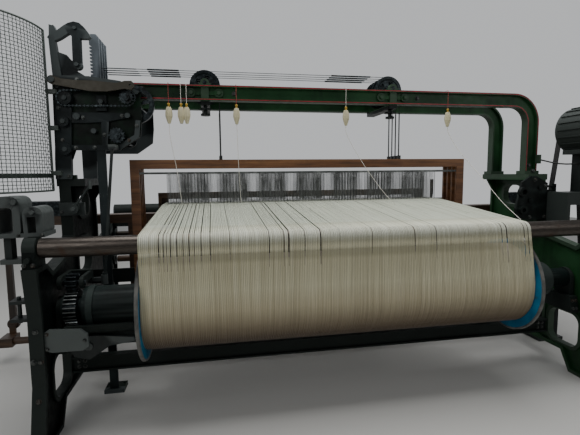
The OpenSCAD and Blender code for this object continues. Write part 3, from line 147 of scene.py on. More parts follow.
world = bpy.data.worlds.new("surround")
world.use_nodes = True
sky = world.node_tree
facing = sky.nodes.new("ShaderNodeTexCoord")
parts = sky.nodes.new("ShaderNodeSeparateXYZ")
level = sky.nodes.new("ShaderNodeValToRGB")
sky.links.new(facing.outputs["Generated"], parts.inputs["Vector"])
sky.links.new(parts.outputs["Y"], level.inputs["Fac"])
sky.links.new(level.outputs["Color"], sky.nodes["Background"].inputs["Color"])
for element, at, tone in zip(level.color_ramp.elements, (0.0, 0.7), ("#8e9092", "#f4f6f8")):
    element.position, element.color = at, srgb(tone)
sky.nodes["Background"].inputs["Strength"].default_value = 0.62
bpy.context.scene.world = world


def lamp(name, at, aim, size, watts):
    light = bpy.data.lights.new(name, "AREA")
    light.shape = "RECTANGLE"
    light.size, light.size_y = mm(*size)
    light.energy = watts
    obj = bpy.data.objects.new(name, light)
    obj.location = mm(*at)
    obj.rotation_euler = (Vector(mm(*aim)) - Vector(mm(*at))).to_track_quat("-Z", "Y").to_euler()
    bpy.context.collection.objects.link(obj)


lamp("overhead", (0, -200, 3600), (0, -200, 0), (4200, 2200), 120)
lamp("from_the_left", (-2600, -3000, 2600), (-300, -300, 900), (1800, 1800), 24)
lamp("from_the_right", (2400, -2600, 2400), (300, -300, 900), (1600, 1600), 12)

# %% [markdown]
# ## Materials
#
# `add` is the one function that adds a shader node. Every material is procedural: object coordinates or the
# warp's own UV map feed noise and waves, which drive colour, roughness and bump.

# %%
def add(tree, kind, inputs=None, **settings):
    """Adds one node: settings are its properties, inputs its socket values or links."""
    node = tree.nodes.new(kind)
    for key, value in settings.items():
        setattr(node, key, value)
    for key, value in (inputs or {}).items():
        if isinstance(value, bpy.types.NodeSocket):
            tree.links.new(value, node.inputs[key])
        else:
            node.inputs[key].default_value = value
    return node


def start(name, **constants):
    """A material with its shader; constants are set on the shader's own sockets."""
    material = bpy.data.materials.new(name)
    material.use_nodes = True
    tree = material.node_tree
    shader = tree.nodes["Principled BSDF"]
    for key, value in constants.items():
        shader.inputs[key].default_value = value
    return material, tree, shader


def place(tree, scale=(1, 1, 1)):
    """Object coordinates in metres, stretched by scale."""
    where = add(tree, "ShaderNodeTexCoord")
    return add(tree, "ShaderNodeMapping", {"Vector": where.outputs["Object"], "Scale": scale}).outputs["Vector"]


def axes(tree):
    """The object coordinates X, Y and Z in metres, one by one."""
    split = add(tree, "ShaderNodeSeparateXYZ", {"Vector": add(tree, "ShaderNodeTexCoord").outputs["Object"]})
    return [split.outputs[name] for name in "XYZ"]


def noise(tree, vector, scale, detail=4.0, rough=0.55):
    return add(tree, "ShaderNodeTexNoise", {"Vector": vector, "Scale": scale, "Detail": detail,
                                            "Roughness": rough}).outputs["Fac"]


def ramp(tree, value, stops):
    node = add(tree, "ShaderNodeValToRGB", {"Fac": value})
    band = node.color_ramp
    band.elements.remove(band.elements[1])
    for number, (at, colour) in enumerate(stops):
        element = band.elements.new(at) if number else band.elements[0]
        element.position = at
        element.color = srgb(colour) if isinstance(colour, str) else (colour, colour, colour, 1)
    return node.outputs["Color"]


def mix(tree, factor, a, b, blend="MIX"):
    node = add(tree, "ShaderNodeMix", data_type="RGBA", blend_type=blend)
    for socket, value in ((node.inputs[0], factor), (node.inputs[6], a), (node.inputs[7], b)):
        if isinstance(value, bpy.types.NodeSocket):
            tree.links.new(value, socket)
        elif isinstance(value, str):
            socket.default_value = srgb(value)
        else:
            socket.default_value = value
    return node.outputs[2]


def math_node(tree, operation, a, b=0.0, c=0.0):
    node = add(tree, "ShaderNodeMath", operation=operation)
    for socket, value in zip(node.inputs, (a, b, c)):
        if isinstance(value, bpy.types.NodeSocket):
            tree.links.new(value, socket)
        else:
            socket.default_value = value
    return node.outputs[0]


def finish_surface(tree, shader, colour, roughness=None, height=None, depth_mm=0.5, strength=0.4):
    tree.links.new(colour, shader.inputs["Base Color"])
    if roughness is not None:
        tree.links.new(roughness, shader.inputs["Roughness"])
    if height is not None:
        bump = add(tree, "ShaderNodeBump", {"Height": height, "Distance": depth_mm / 1000,
                                            "Strength": strength})
        tree.links.new(bump.outputs["Normal"], shader.inputs["Normal"])


def worn_paint(name, base, light, dark, bare, rough=(0.34, 0.6), chips=0.66, grime=0.5, metallic=0.0,
               shine=0.35):
    """Old oil-stained paint on a casting: cloudy colour, dark grime, and bare iron on rubbed edges."""
    material, tree, shader = start(name, **{"Metallic": metallic, "Specular IOR Level": shine})
    here = place(tree)
    cloud = noise(tree, here, 3.2, 6)
    fine = noise(tree, here, 38, 5, 0.62)
    grain = noise(tree, here, 240, 3, 0.6)
    colour = ramp(tree, cloud, [(0.32, dark), (0.5, base), (0.72, light)])
    runs = noise(tree, place(tree, (14, 14, 2.2)), 1.0, 5, 0.6)
    colour = mix(tree, ramp(tree, runs, [(grime, 0.0), (grime + 0.22, 0.75)]), colour, dark)
    rubbed = math_node(tree, "MULTIPLY_ADD", fine, 0.55, math_node(tree, "MULTIPLY", cloud, 0.45))
    rim = add(tree, "ShaderNodeNewGeometry").outputs["Pointiness"]
    edge = ramp(tree, rim, [(0.505, 0.0), (0.56, 0.6)])
    worn = math_node(tree, "ADD", ramp(tree, rubbed, [(chips, 0.0), (chips + 0.04, 0.8)]), edge)
    colour = mix(tree, worn, colour, bare)
    gloss = ramp(tree, fine, [(0.3, rough[0]), (0.7, rough[1])])
    finish_surface(tree, shader, colour, gloss, grain, 0.35, 0.35)
    return material


def bare_metal(name, base, light, dark, rough=(0.28, 0.5), stretch=(1, 1, 1), rust="#4a3527", rust_at=0.62):
    """Handled or machined metal with brushed streaks and a thin brown film."""
    material, tree, shader = start(name, Metallic=0.85)
    streaks = noise(tree, place(tree, stretch), 60, 4, 0.6)
    cloud = noise(tree, place(tree), 9, 5)
    colour = ramp(tree, streaks, [(0.3, dark), (0.5, base), (0.72, light)])
    colour = mix(tree, ramp(tree, cloud, [(rust_at, 0.0), (rust_at + 0.12, 0.7)]), colour, rust)
    gloss = ramp(tree, cloud, [(0.35, rough[0]), (0.7, rough[1])])
    finish_surface(tree, shader, colour, gloss, streaks, 0.15, 0.3)
    return material


def timber(name, base, light, dark, along="X"):
    """Varnished wood whose grain runs along one axis, darkened by hands and oil."""
    material, tree, shader = start(name)
    stretch = {"X": (1.2, 16, 16), "Y": (16, 1.2, 16), "Z": (16, 16, 1.2)}[along]
    figure = noise(tree, place(tree, stretch), 2.0, 8, 0.65)
    pores = noise(tree, place(tree, tuple(v * 9 for v in stretch)), 3.0, 3, 0.6)
    soil = noise(tree, place(tree), 5, 5)
    colour = ramp(tree, figure, [(0.3, dark), (0.48, base), (0.66, light)])
    colour = mix(tree, ramp(tree, pores, [(0.6, 0.0), (0.72, 0.4)]), colour, dark)
    colour = mix(tree, ramp(tree, soil, [(0.55, 0.0), (0.75, 0.45)]), colour, "#3b2a1a")
    finish_surface(tree, shader, colour, ramp(tree, soil, [(0.3, 0.38), (0.7, 0.6)]), pores, 0.2, 0.35)
    return material


def threads(name, base, light, dark, axis="UV", painted_light_bands=None):
    """Cotton yarn laid side by side: fine bright and dark streaks, and painted light and shade as tints by
    height where given.
    """
    material, tree, shader = start(name, **{"Roughness": 0.88, "Sheen Weight": 0.2, "Sheen Roughness": 0.5,
                                            "Specular IOR Level": 0.12})
    if axis == "UV":
        split = add(tree, "ShaderNodeSeparateXYZ", {"Vector": add(tree, "ShaderNodeUVMap").outputs["UV"]})
        across, along = split.outputs["X"], split.outputs["Y"]
    else:
        across, y, _ = axes(tree)
        along = math_node(tree, "MULTIPLY", y, 0.2)

    def streak(per_metre, drift, detail=3):
        joined = add(tree, "ShaderNodeCombineXYZ", {"X": math_node(tree, "MULTIPLY", across, per_metre),
                                                    "Y": math_node(tree, "MULTIPLY", along, drift)})
        return noise(tree, joined.outputs["Vector"], 1.0, detail, 0.6)

    broad = streak(9, 0.3)
    middle = streak(150, 0.8, 2)
    fine = streak(620, 2.0, 2)
    colour = mix(tree, ramp(tree, broad, [(0.34, 0.35), (0.5, 0.0)]), base, dark)
    colour = mix(tree, ramp(tree, middle, [(0.36, 0.62), (0.5, 0.0)]), colour, dark)
    colour = mix(tree, ramp(tree, middle, [(0.52, 0.0), (0.66, 0.5)]), colour, light)
    colour = mix(tree, ramp(tree, fine, [(0.34, 0.4), (0.5, 0.0)]), colour, dark)
    colour = mix(tree, ramp(tree, fine, [(0.55, 0.0), (0.68, 0.35)]), colour, light)
    # Painted light and shade: where tints by height are given, they multiply the yarn's colour.
    if painted_light_bands:
        colour = mix(tree, 1.0, colour, ramp(tree, axes(tree)[2], painted_light_bands), "MULTIPLY")
    finish_surface(tree, shader, colour, None, fine, 0.5, 0.4)
    return material


def two_tone(name, under, other, keep):
    """A copy of a paint, with three other tones where keep(tree, x, y, z) gives one."""
    material = under.copy()
    material.name = name
    tree = material.node_tree
    shader = tree.nodes["Principled BSDF"]
    paint_link = shader.inputs["Base Color"].links[0].from_socket
    mask = keep(tree, *axes(tree))
    iron = ramp(tree, noise(tree, place(tree), 18, 6), [(0.3, other[0]), (0.5, other[1]), (0.74, other[2])])
    tree.links.new(mix(tree, mask, paint_link, iron), shader.inputs["Base Color"])
    return material


DARK_TONES = ("#080b0a", "#0f1513", "#222a28")
SUNK_TONES = ("#050806", "#0a150e", "#12281a")

IRON = worn_paint("dark_iron", "#0a0f0e", "#141c1a", "#050707", "#2f3532", rough=(0.38, 0.6), chips=0.7,
                  shine=0.12)
GREEN = worn_paint("green_paint", "#1a3b20", "#264e2e", "#0d2213", "#3d483e", rough=(0.3, 0.52), chips=0.76,
                   grime=0.54, shine=0.22)
HEAD = worn_paint("head_iron", "#1b2122", "#303839", "#0e1212", "#545b5b", rough=(0.36, 0.58), chips=0.64,
                  shine=0.13)
GUARD = worn_paint("guard_wire", "#1c2421", "#333d38", "#0e1311", "#5a635e", chips=0.62)
CASTING = worn_paint("grey_casting", "#242a29", "#383f3d", "#121716", "#5c6260", chips=0.7, grime=0.52)
BRIGHT = bare_metal("bright_steel", "#49433e", "#5d5751", "#37322e", stretch=(0.6, 9, 9), rust_at=0.56)
OILY = bare_metal("oily_steel", "#2b3133", "#474f52", "#14181a", rough=(0.28, 0.48), rust="#1d1814",
                  rust_at=0.56)
DRUM = worn_paint("drum_paint", "#0a1312", "#152220", "#060a09", "#39423f", rough=(0.4, 0.62), chips=0.68,
                  shine=0.15)
MOTOR = worn_paint("motor_paint", "#0e1212", "#1a201f", "#080b0a", "#3f4542", chips=0.74, shine=0.2)
BROWN = worn_paint("lever_brown", "#1e1c17", "#2c2922", "#100f0c", "#474338", chips=0.64, metallic=0.3)
JACK = worn_paint("jack_iron", "#3b4349", "#59626a", "#22282c", "#848d94", chips=0.6, metallic=0.3, shine=0.3)

# Places in mm where a paint changes. The bossed bracket that stands out from the right frame is dark iron,
# and so are the screws under the arches; the dobby's near plate is greener between its ribs.
BRACKET_FACE_Y, BRACKET_FOOT_Z, ARCH_UNDERSIDE_Z, RIB_GROUND_Y = -244.5, 925, 1684, -247
FRAME_GREEN = two_tone("frame_green", GREEN, DARK_TONES, lambda tree, x, y, z: math_node(
    tree, "MULTIPLY", math_node(tree, "LESS_THAN", y, mm(BRACKET_FACE_Y)),
    math_node(tree, "GREATER_THAN", z, mm(BRACKET_FOOT_Z))))
BRACKET_GREEN = two_tone("bracket_green", GREEN, DARK_TONES, lambda tree, x, y, z: math_node(
    tree, "LESS_THAN", z, mm(ARCH_UNDERSIDE_Z)))
PLATE = two_tone("head_plate", HEAD, SUNK_TONES, lambda tree, x, y, z: math_node(
    tree, "GREATER_THAN", y, mm(RIB_GROUND_Y)))

WOOD = timber("heald_wood", "#674328", "#845b38", "#3d2716")
DARK_WOOD = timber("oiled_wood", "#3d2b1c", "#57402a", "#1f160f")
STICK = timber("stick_wood", "#2b2119", "#43352a", "#150f0b", along="Z")
# A heald shaft's wooden frame in mm: its middle in X, its heights and width, and the width of a stave.
HEALD_MIDDLE, HEALD_TOP, HEALD_BOTTOM, STAVE, HEALD_WIDE = -92, 1348, 664, 52, 2180


def between_staves(tree, x, y, z):
    """One inside the wooden frame of a heald shaft, where the bars and heddles are."""
    off = math_node(tree, "ABSOLUTE", math_node(tree, "SUBTRACT", x, mm(HEALD_MIDDLE)))
    across = math_node(tree, "LESS_THAN", off, mm(HEALD_WIDE / 2 - STAVE))
    up = math_node(tree, "MULTIPLY", math_node(tree, "GREATER_THAN", z, mm(HEALD_BOTTOM + STAVE)),
                   math_node(tree, "LESS_THAN", z, mm(HEALD_TOP - STAVE)))
    return math_node(tree, "MULTIPLY", across, up)


WIRED = two_tone("heald_wires", WOOD, ("#2b2e2d", "#505452", "#7d817e"), between_staves)
HEALD = two_tone("heald_frame", WIRED, DARK_TONES, lambda tree, x, y, z: math_node(
    tree, "GREATER_THAN", z, mm(HEALD_TOP + 0.5)))
YARN = threads("yarn_on_beam", "#a0968a", "#b3aa9e", "#837a70", axis="object")
# The warp carries painted light and shade by height. Painted shade, warm-tinted, darkens it low round the beam.
# A painted highlight band lies just under the back rest roller, with a painted shade band below it.
# Further stops above the roller make lighter and darker bands. Each stop is a height in metres and the tint
# that multiplies the yarn's colour there.
WARP = threads("warp_threads", "#dad8c1", "#ebe9d8", "#bbb69f", painted_light_bands=[
    (0.37, "#5a4c46"), (0.43, "#77685f"), (0.50, "#aa9e93"), (0.60, "#ebe3d6"), (0.70, "#fffcf2"),
    (0.83, "#eeebde"), (0.85, "#d4d1c3"), (0.876, "#d0cec2"), (0.889, "#fffdf4"), (0.903, "#fffdf4"),
    (0.92, "#e0e0da"), (0.945, "#eef2f8"), (0.972, "#f4f8ff"), (0.99, "#eef2f4"), (1.009, "#c6cac6"),
    (1.031, "#c8ccc8"), (1.047, "#dde5ea")])


def plain_skin(name, rough, coarse, stops, grain, depth_mm=0.1, strength=0.2):
    """An even surface such as rubber or card: a ramp over one noise, with a fine grain as bump."""
    material, tree, shader = start(name, Roughness=rough)
    finish_surface(tree, shader, ramp(tree, noise(tree, place(tree), coarse, 4), stops), None,
                   noise(tree, place(tree), grain, 2), depth_mm, strength)
    return material


RUBBER = plain_skin("belt_rubber", 0.6, 30, [(0.35, "#141414"), (0.7, "#2a2a29")], 300, 0.2, 0.3)
print("materials:", len(bpy.data.materials))

# %% [markdown]
# The beam's flanges are enamelled blue on their faces and worn to bare steel on the rolled rim. The
# distance from the beam's axis decides which, so the border stays a circle when the beam turns.

# %%
flange_low, flange_high = box_mm("beam_flanges")
axis_y, axis_z = (flange_low[1] + flange_high[1]) / 2, (flange_low[2] + flange_high[2]) / 2
flange_radius = (flange_high[2] - flange_low[2]) / 2
RIM_WIDTH, OUTER_FACE = 12, 13


def from_beam_axis(tree):
    """The distance from the beam's axis in metres, and X."""
    x, y, z = axes(tree)
    dy, dz = math_node(tree, "SUBTRACT", y, mm(axis_y)), math_node(tree, "SUBTRACT", z, mm(axis_z))
    squares = math_node(tree, "ADD", math_node(tree, "MULTIPLY", dy, dy), math_node(tree, "MULTIPLY", dz, dz))
    return math_node(tree, "SQRT", squares), x


FLANGE, tree, shader = start("blue_flange")
radius, beside = from_beam_axis(tree)
here = place(tree)
enamel = ramp(tree, noise(tree, here, 6, 6), [(0.3, "#0d4a6a"), (0.5, "#13688f"), (0.7, "#2585ab")])
enamel = mix(tree, ramp(tree, noise(tree, here, 26, 5, 0.65), [(0.62, 0.0), (0.68, 0.7)]), enamel, "#39474c")
steel = ramp(tree, noise(tree, here, 22, 5), [(0.3, "#3b3b39"), (0.7, "#6f6e69")])
rim_inside = flange_radius - RIM_WIDTH
on_rim = ramp(tree, radius, [(mm(rim_inside - 1), 0.0), (mm(rim_inside + 1), 1.0)])
outside = math_node(tree, "GREATER_THAN", math_node(tree, "ABSOLUTE", beside), mm(flange_high[0] - OUTER_FACE))
worn_off = math_node(tree, "MAXIMUM", on_rim, math_node(tree, "MULTIPLY", outside, 0.8))
colour = mix(tree, worn_off, enamel, steel)
finish_surface(tree, shader, colour, ramp(tree, noise(tree, here, 14), [(0.3, 0.3), (0.7, 0.5)]),
               noise(tree, here, 120, 3), 0.3, 0.3)
print("flange radius in mm:", round(flange_radius))

# %%
# The beam gear is oily, with the lands of its teeth rubbed bright.
gear_low, gear_high = box_mm("beam_gear")
gear_radius = (gear_high[2] - gear_low[2]) / 2
LAND_STARTS, LAND_FULL = gear_radius - 3.2, gear_radius - 1.8
GEAR = OILY.copy()
GEAR.name = "gear_steel"
tree = GEAR.node_tree
shader = tree.nodes["Principled BSDF"]
oil_link = shader.inputs["Base Color"].links[0].from_socket
land = ramp(tree, from_beam_axis(tree)[0], [(mm(LAND_STARTS), 0.0), (mm(LAND_FULL), 0.85)])
land = math_node(tree, "MULTIPLY", land, ramp(tree, noise(tree, place(tree), 30, 4), [(0.35, 0.35), (0.6, 1.0)]))
tree.links.new(mix(tree, land, oil_link, "#a3a8a6"), shader.inputs["Base Color"])
print("gear radius in mm:", round(gear_radius))

# %% [markdown]
# Each CAD node takes its material here. The right side frame, the arches and their brackets are green; the
# left end is almost black with oil.

# %%
def four(name):
    return ["%s_%d" % (name, k) for k in (1, 2, 3, 4)]


GIVEN = {
    IRON: ["side_frame_left", "cross_rails", "breast_beam", "backrest_brackets", "beam_cradles", "crank_arms"],
    HEAD: ["dobby_far_plate", "top_bow"],
    PLATE: ["dobby_near_plate"],
    GREEN: ["arches"],
    FRAME_GREEN: ["side_frame_right"],
    BRACKET_GREEN: ["sheave_brackets"],
    CASTING: ["pick_castings"],
    BRIGHT: ["back_roller", "take_up_roller", "start_handle", "crankshaft", "bottom_shaft", "reed",
             "motor_pulley"],
    GEAR: ["beam_gear"],
    OILY: ["sheaves_left", "sheaves_right", "let_off_pinion", "dobby_wheel", "upper_sprocket", "lower_sprocket",
           "dobby_chain", "harness_cords", "shuttle_boxes", "hand_wheel"] + four("harness_rod"),
    JACK: four("jack"),
    DRUM: ["warp_beam"],
    FLANGE: ["beam_flanges"],
    YARN: ["warp_yarn", "cloth"],
    WOOD: ["shuttle"],
    HEALD: four("heald_shaft"),
    DARK_WOOD: ["sley", "cloth_roller"],
    STICK: ["picking_stick_left", "picking_stick_right"],
    BROWN: ["latch_lever"],
    MOTOR: ["motor", "drive_pulley"],
    RUBBER: ["drive_belt", "motor_cable"],
    GUARD: ["wire_guard"],
}


def paint(obj, material):
    """Puts one material in every slot of an object, or adds it where there is none."""
    if not obj.data.materials:
        obj.data.materials.append(material)
    for index in range(len(obj.data.materials)):
        obj.data.materials[index] = material


for material, names in GIVEN.items():
    for name in names:
        paint(nodes[name], material)
left_out = set(nodes) - {n for names in GIVEN.values() for n in names}
print("nodes without a material so far:", sorted(left_out))

# %% [markdown]
# ## The warp, thread by thread
#
# In the CAD the warp is one slit plate. Here it becomes about nine hundred narrow ribbons, each a small
# bunch of threads with a raised middle. They rise from the yarn on the beam, bend over the back rest
# roller, close in towards the healds and drop to the fell of the cloth. Their widths vary, and a few
# bunches are missing, so dark lines open between them as on a real warp.

# %%
SHEET_HALF, HEALD_HALF = 1.5, 9   # half of the CAD sheet's and of a heald shaft's thickness
LEVEL_FROM, LEVEL_LENGTH = 40, 222   # the warp lies level from 40 before the first shaft, for 222


def warp_line():
    """The warp seen from the side: points (y, z, taper) from under the beam to the fell, in mm."""
    roller_low, roller_high = box_mm("back_roller")
    sheet_low, sheet_high = box_mm("warp_sheet")
    y0 = (roller_low[1] + roller_high[1]) / 2
    z0 = (roller_low[2] + roller_high[2]) / 2
    radius = y0 - sheet_low[1] - SHEET_HALF
    wrap = axis_y - (y0 - radius)
    points = arc(axis_y, axis_z, wrap, range(290, 180, -11))
    points += [(y0 - radius, axis_z + (z0 - axis_z) * k / 8) for k in range(8)]
    points += arc(y0, z0, radius, [180 - 80 * k / 12 for k in range(13)])
    heald_y = min(box_mm(shaft)[0][1] for shaft in four("heald_shaft")) + HEALD_HALF - LEVEL_FROM
    top = sheet_high[2] - SHEET_HALF
    start_y, start_z = points[-1]
    points = [(y, z, 0.0) for y, z in points]
    for k in range(1, 9):
        t = k / 8
        points.append((start_y + (heald_y - start_y) * t, start_z + (top - start_z) * t, t))
    last = heald_y + LEVEL_LENGTH
    fell = sheet_high[1] - 2
    low = box_mm("cloth")[1][2] - SHEET_HALF
    points += [(heald_y + LEVEL_LENGTH * k / 3, top, 1.0) for k in (1, 2, 3)]
    points += [(last + (fell - last) * k / 4, top + (low - top) * k / 4, 1.0) for k in range(1, 5)]
    return points


line = warp_line()
sheet_low, sheet_high = box_mm("warp_sheet")
cloth_low, cloth_high = box_mm("cloth")
half_wide = (sheet_high[0] - sheet_low[0]) / 2
middle_narrow = (cloth_low[0] + cloth_high[0]) / 2
half_narrow = (cloth_high[0] - cloth_low[0]) / 2
travel = [0.0]
for a, b in zip(line, line[1:]):
    travel.append(travel[-1] + math.hypot(b[0] - a[0], b[1] - a[1]))
normals = []
for k in range(len(line)):
    a, b = line[max(k - 1, 0)], line[min(k + 1, len(line) - 1)]
    length = math.hypot(b[0] - a[0], b[1] - a[1])
    normals.append((-(b[1] - a[1]) / length, (b[0] - a[0]) / length))
print("warp path in mm:", round(travel[-1]), "in", len(line), "points")

# %%
# How many bunches a dark gap loses, and the shares of the width where such gaps lie.
GAPS = {
    1: (0.062, 0.097, 0.122, 0.2, 0.461, 0.545, 0.66, 0.72, 0.99),
    2: (0.044, 0.054, 0.07, 0.083, 0.11, 0.137, 0.157, 0.291, 0.326, 0.376, 0.91, 0.978),
    3: (0.337, 0.414, 0.925),
}
GAP_FROM_Z, RIGHT_GAP_FROM_Z, RIGHT_SHARE = 872, 815, 0.9   # the gaps past this share open lower down
# On its way up to the roller the right half of the warp is drawn in, by up to 44 at the edge.
DRAWN_IN, DRAWN_FROM_Z, DRAWN_OVER = 44, 640, 300


def gap_starts(height):
    """How many points of the rising warp lie below a height: a missing bunch is drawn up to there."""
    return max(k for k, (y, z, taper) in enumerate(line) if z < height and taper == 0 and y < axis_y) + 1


BUNCHES = 900
points, faces, uvs = [], [], []
for n in range(BUNCHES):
    share = (n + 0.5) / BUNCHES
    missing = any(abs(share - at) < lost * 0.5 / BUNCHES for lost, shares in GAPS.items() for at in shares)
    width = random.uniform(0.80, 0.99) / BUNCHES
    shift = random.uniform(-0.06, 0.06) / BUNCHES
    lift = random.uniform(-0.5, 0.5)
    hue = random.random()
    base = len(points)
    gap_from = RIGHT_GAP_FROM_Z if share > RIGHT_SHARE else GAP_FROM_Z
    count = gap_starts(gap_from) - n % 2 if missing else len(line)
    for (y, z, taper), (ny, nz), s in list(zip(line, normals, travel))[:count]:
        half = half_wide + (half_narrow - half_wide) * taper
        centre = middle_narrow * taper
        wander = 0.25 * math.sin(s / 90 + n * 1.7) / BUNCHES
        for side, raise_mm in ((-0.5, 0.0), (0.0, 0.9), (0.5, 0.0)):
            u = share + shift + wander + side * width
            x = centre + (2 * u - 1) * half
            x -= (max(0.0, 2 * u - 1) * DRAWN_IN * (1 - taper)
                  * min(1.0, max(0.0, (z - DRAWN_FROM_Z) / DRAWN_OVER)))
            height = lift * min(1.0, 0.35 + taper) + raise_mm
            points.append((x, y + ny * height, z + nz * height))
            uvs.append(((2 * u - 1) * half_wide / 1000, s / 1000 + hue * 0.05))
    for k in range(count - 1):
        for c in (0, 1):
            a = base + k * 3 + c
            faces.append((a, a + 1, a + 4, a + 3))
warp = mesh_object("warp_threads", points, faces, smooth=True, uvs=uvs)
paint(warp, WARP)
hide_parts("warp_sheet")
print("warp bunches:", len(points) // (3 * len(line)), "faces:", len(faces))

# %% [markdown]
# ## The woven-wire guard
#
# The guard round the left end is crimped wire mesh. Every upright wire goes over and under the level ones,
# so both follow a wave, half a step apart.

# %%
def skin(faces, base, rings, sides):
    """Joins rings of points that follow one another in a mesh, and closes both ends."""
    for k in range(rings - 1):
        for s in range(sides):
            a, b = base + k * sides + s, base + k * sides + (s + 1) % sides
            faces.append((a, b, b + sides, a + sides))
    faces.append(tuple(base + s for s in reversed(range(sides))))
    faces.append(tuple(base + (rings - 1) * sides + s for s in range(sides)))


def ring(points, centre, side, other, radius, sides, turned=0.0):
    """Adds a circle of points round a centre, in the plane of two unit vectors."""
    for s in range(sides):
        a = turned + 2 * math.pi * s / sides
        points.append(tuple(centre + (side * math.cos(a) + other * math.sin(a)) * radius))


def sideways(along, near, far):
    """A unit vector square to a direction; near and far are guides for level and for upright ones."""
    return along.cross(Vector(near if abs(along.z) < 0.9 else far)).normalized()


def tube(points, faces, path, radius, sides):
    """Adds a round wire along a path of points (mm) to a mesh under construction."""
    base = len(points)
    for k, here in enumerate(path):
        before, after = path[max(k - 1, 0)], path[min(k + 1, len(path) - 1)]
        along = (Vector(after) - Vector(before)).normalized()
        side = sideways(along, (0.031, 0.053, 1.0), (1.0, 0.041, 0.02))
        ring(points, Vector(here), side, along.cross(side), radius, sides)
    skin(faces, base, len(path), sides)


guard_low, guard_high = box_mm("wire_guard")
GUARD_AT = (-1964, -280)
GUARD_R = 420
GUARD_Z = (guard_low[2] + 3, guard_high[2] - 3)
COLUMNS, ROWS = 37, 48
WIRE_R, CRIMP = 1.8, 1.9
START, END = 0.0, -100.0   # degrees round the guard's upright axis
pitch_a = (END - START) / COLUMNS
pitch_z = (GUARD_Z[1] - GUARD_Z[0]) / ROWS


def on_guard(a, z, out=0.0):
    """A point on the guard at an angle in degrees and a height, set out from the wires' middle surface."""
    angle, r = math.radians(a), GUARD_R + out
    return (GUARD_AT[0] + r * math.cos(angle), GUARD_AT[1] + r * math.sin(angle), z)


points, faces = [], []
for c in range(1, COLUMNS):
    path = [on_guard(START + c * pitch_a, GUARD_Z[0] + k * pitch_z / 4,
                     CRIMP * math.cos(math.pi * (k / 4 + c))) for k in range(ROWS * 4 + 1)]
    tube(points, faces, path, WIRE_R, 5)
for r in range(1, ROWS):
    path = [on_guard(START + k * pitch_a / 4, GUARD_Z[0] + r * pitch_z,
                     -CRIMP * math.cos(math.pi * (k / 4 + r))) for k in range(COLUMNS * 4 + 1)]
    tube(points, faces, path, WIRE_R, 5)
mesh_wire = mesh_object("guard_mesh", points, faces, smooth=True)
paint(mesh_wire, GUARD)
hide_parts("wire_guard")
print("guard wires:", COLUMNS + ROWS - 2, "faces:", len(faces))

# %% [markdown]
# The mesh is held by a frame of round rod with a flat hoop low down, and three brackets on the dobby plate.

# %%
ROD_R, POST_R, ROUND = 5, 5.5, 40
HOOP_Z, HOOP_HALF, HOOP_FACES = 1260, 11, (-4.5, 3.0)
BRACKETS_Z, BRACKET_H, BRACKET_X, BRACKET_Y, SOFTEN = (1260, 1500, 1690), 24, (-14, 36), (-282, -260.2), 2


def round_guard(z, out=0.0):
    """The guard's whole curve at one height."""
    return [on_guard(START + (END - START) * k / ROUND, z, out) for k in range(ROUND + 1)]


points, faces = [], []
for z in GUARD_Z:
    tube(points, faces, round_guard(z), ROD_R, 10)
for a in (START, END):
    upright = [on_guard(a, GUARD_Z[0] + (GUARD_Z[1] - GUARD_Z[0]) * k / 12) for k in range(13)]
    tube(points, faces, upright, POST_R, 10)
for out in HOOP_FACES:
    base = len(points)
    for x, y, z in round_guard(HOOP_Z, out):
        points += [(x, y, z - HOOP_HALF), (x, y, z + HOOP_HALF)]
    for k in range(ROUND):
        a = base + 2 * k
        faces.append((a, a + 2, a + 3, a + 1))
x0, x1 = (box_mm("dobby_near_plate")[0][0] + reach for reach in BRACKET_X)
y0, y1 = BRACKET_Y
for z in BRACKETS_Z:
    base = len(points)
    for level, g in ((z, -SOFTEN), (z + SOFTEN, 0), (z + BRACKET_H - SOFTEN, 0), (z + BRACKET_H, -SOFTEN)):
        points += [(x0 - g, y0 - g, level), (x1 + g, y0 - g, level), (x1 + g, y1, level), (x0 - g, y1, level)]
    skin(faces, base, 4, 4)
guard_frame = mesh_object("guard_frame", points, faces)
paint(guard_frame, GUARD)
print("guard frame faces:", len(faces))

# %% [markdown]
# ## Heddles
#
# The CAD carries one heddle in every second centimetre. Between them go the others, thin twisted pairs of
# wire that open into an eye where the warp passes. They ride with their heald frame.

# %%
HEDDLE_SPAN, HEDDLE_PITCH, CAD_EVERY, HEDDLE_R = 880, 5, 4, 0.42
HEDDLE_Z, EYE_Z = (742, 1268), (1080, 1080, 1080, 1079)
HEDDLE = bare_metal("heddle_wire", "#8f9190", "#b5b6b3", "#55585a", stretch=(6, 6, 0.5), rough=(0.32, 0.55),
                    rust_at=0.7)


def heddles(index):
    """Adds the heddles of one heald shaft, without the places where the CAD has one, and counts them."""
    y = box_mm("heald_shaft_%d" % index)[0][1] + HEALD_HALF
    eye = EYE_Z[index - 1]
    heights = [HEDDLE_Z[0], eye - 150, eye - 13, eye - 6, eye + 6, eye + 13, eye + 120, HEDDLE_Z[1]]
    spread = [0.4, 0.4, 0.4, 1.7, 1.7, 0.4, 0.4, 0.4]
    points, faces = [], []
    count = 0
    for k in range(2 * HEDDLE_SPAN // HEDDLE_PITCH):
        x = middle_narrow - HEDDLE_SPAN + k * HEDDLE_PITCH
        if k % CAD_EVERY == 0:
            continue
        count += 1
        lean = random.uniform(-0.9, 0.9)
        for sign in (-1, 1):
            path = [(x + sign * s + lean * math.sin(n), y + sign * 0.2 + 0.4 * math.cos(n * 2 + k), z)
                    for n, (s, z) in enumerate(zip(spread, heights))]
            tube(points, faces, path, HEDDLE_R, 3)
    piece = mesh_object("heddles_%d" % index, points, faces, body="heald_%d" % index, smooth=True)
    paint(piece, HEDDLE)
    return count


print("heddles added to each frame:", [heddles(k) for k in (1, 2, 3, 4)])

# %% [markdown]
# ## Painted lines on the arch
#
# Two thin crimson lines run along the front edges of the arch's two flanges, round the corner and down the
# leg. They are strips three tenths of a millimetre proud of the paint, with brush-like unevenness in the
# material.

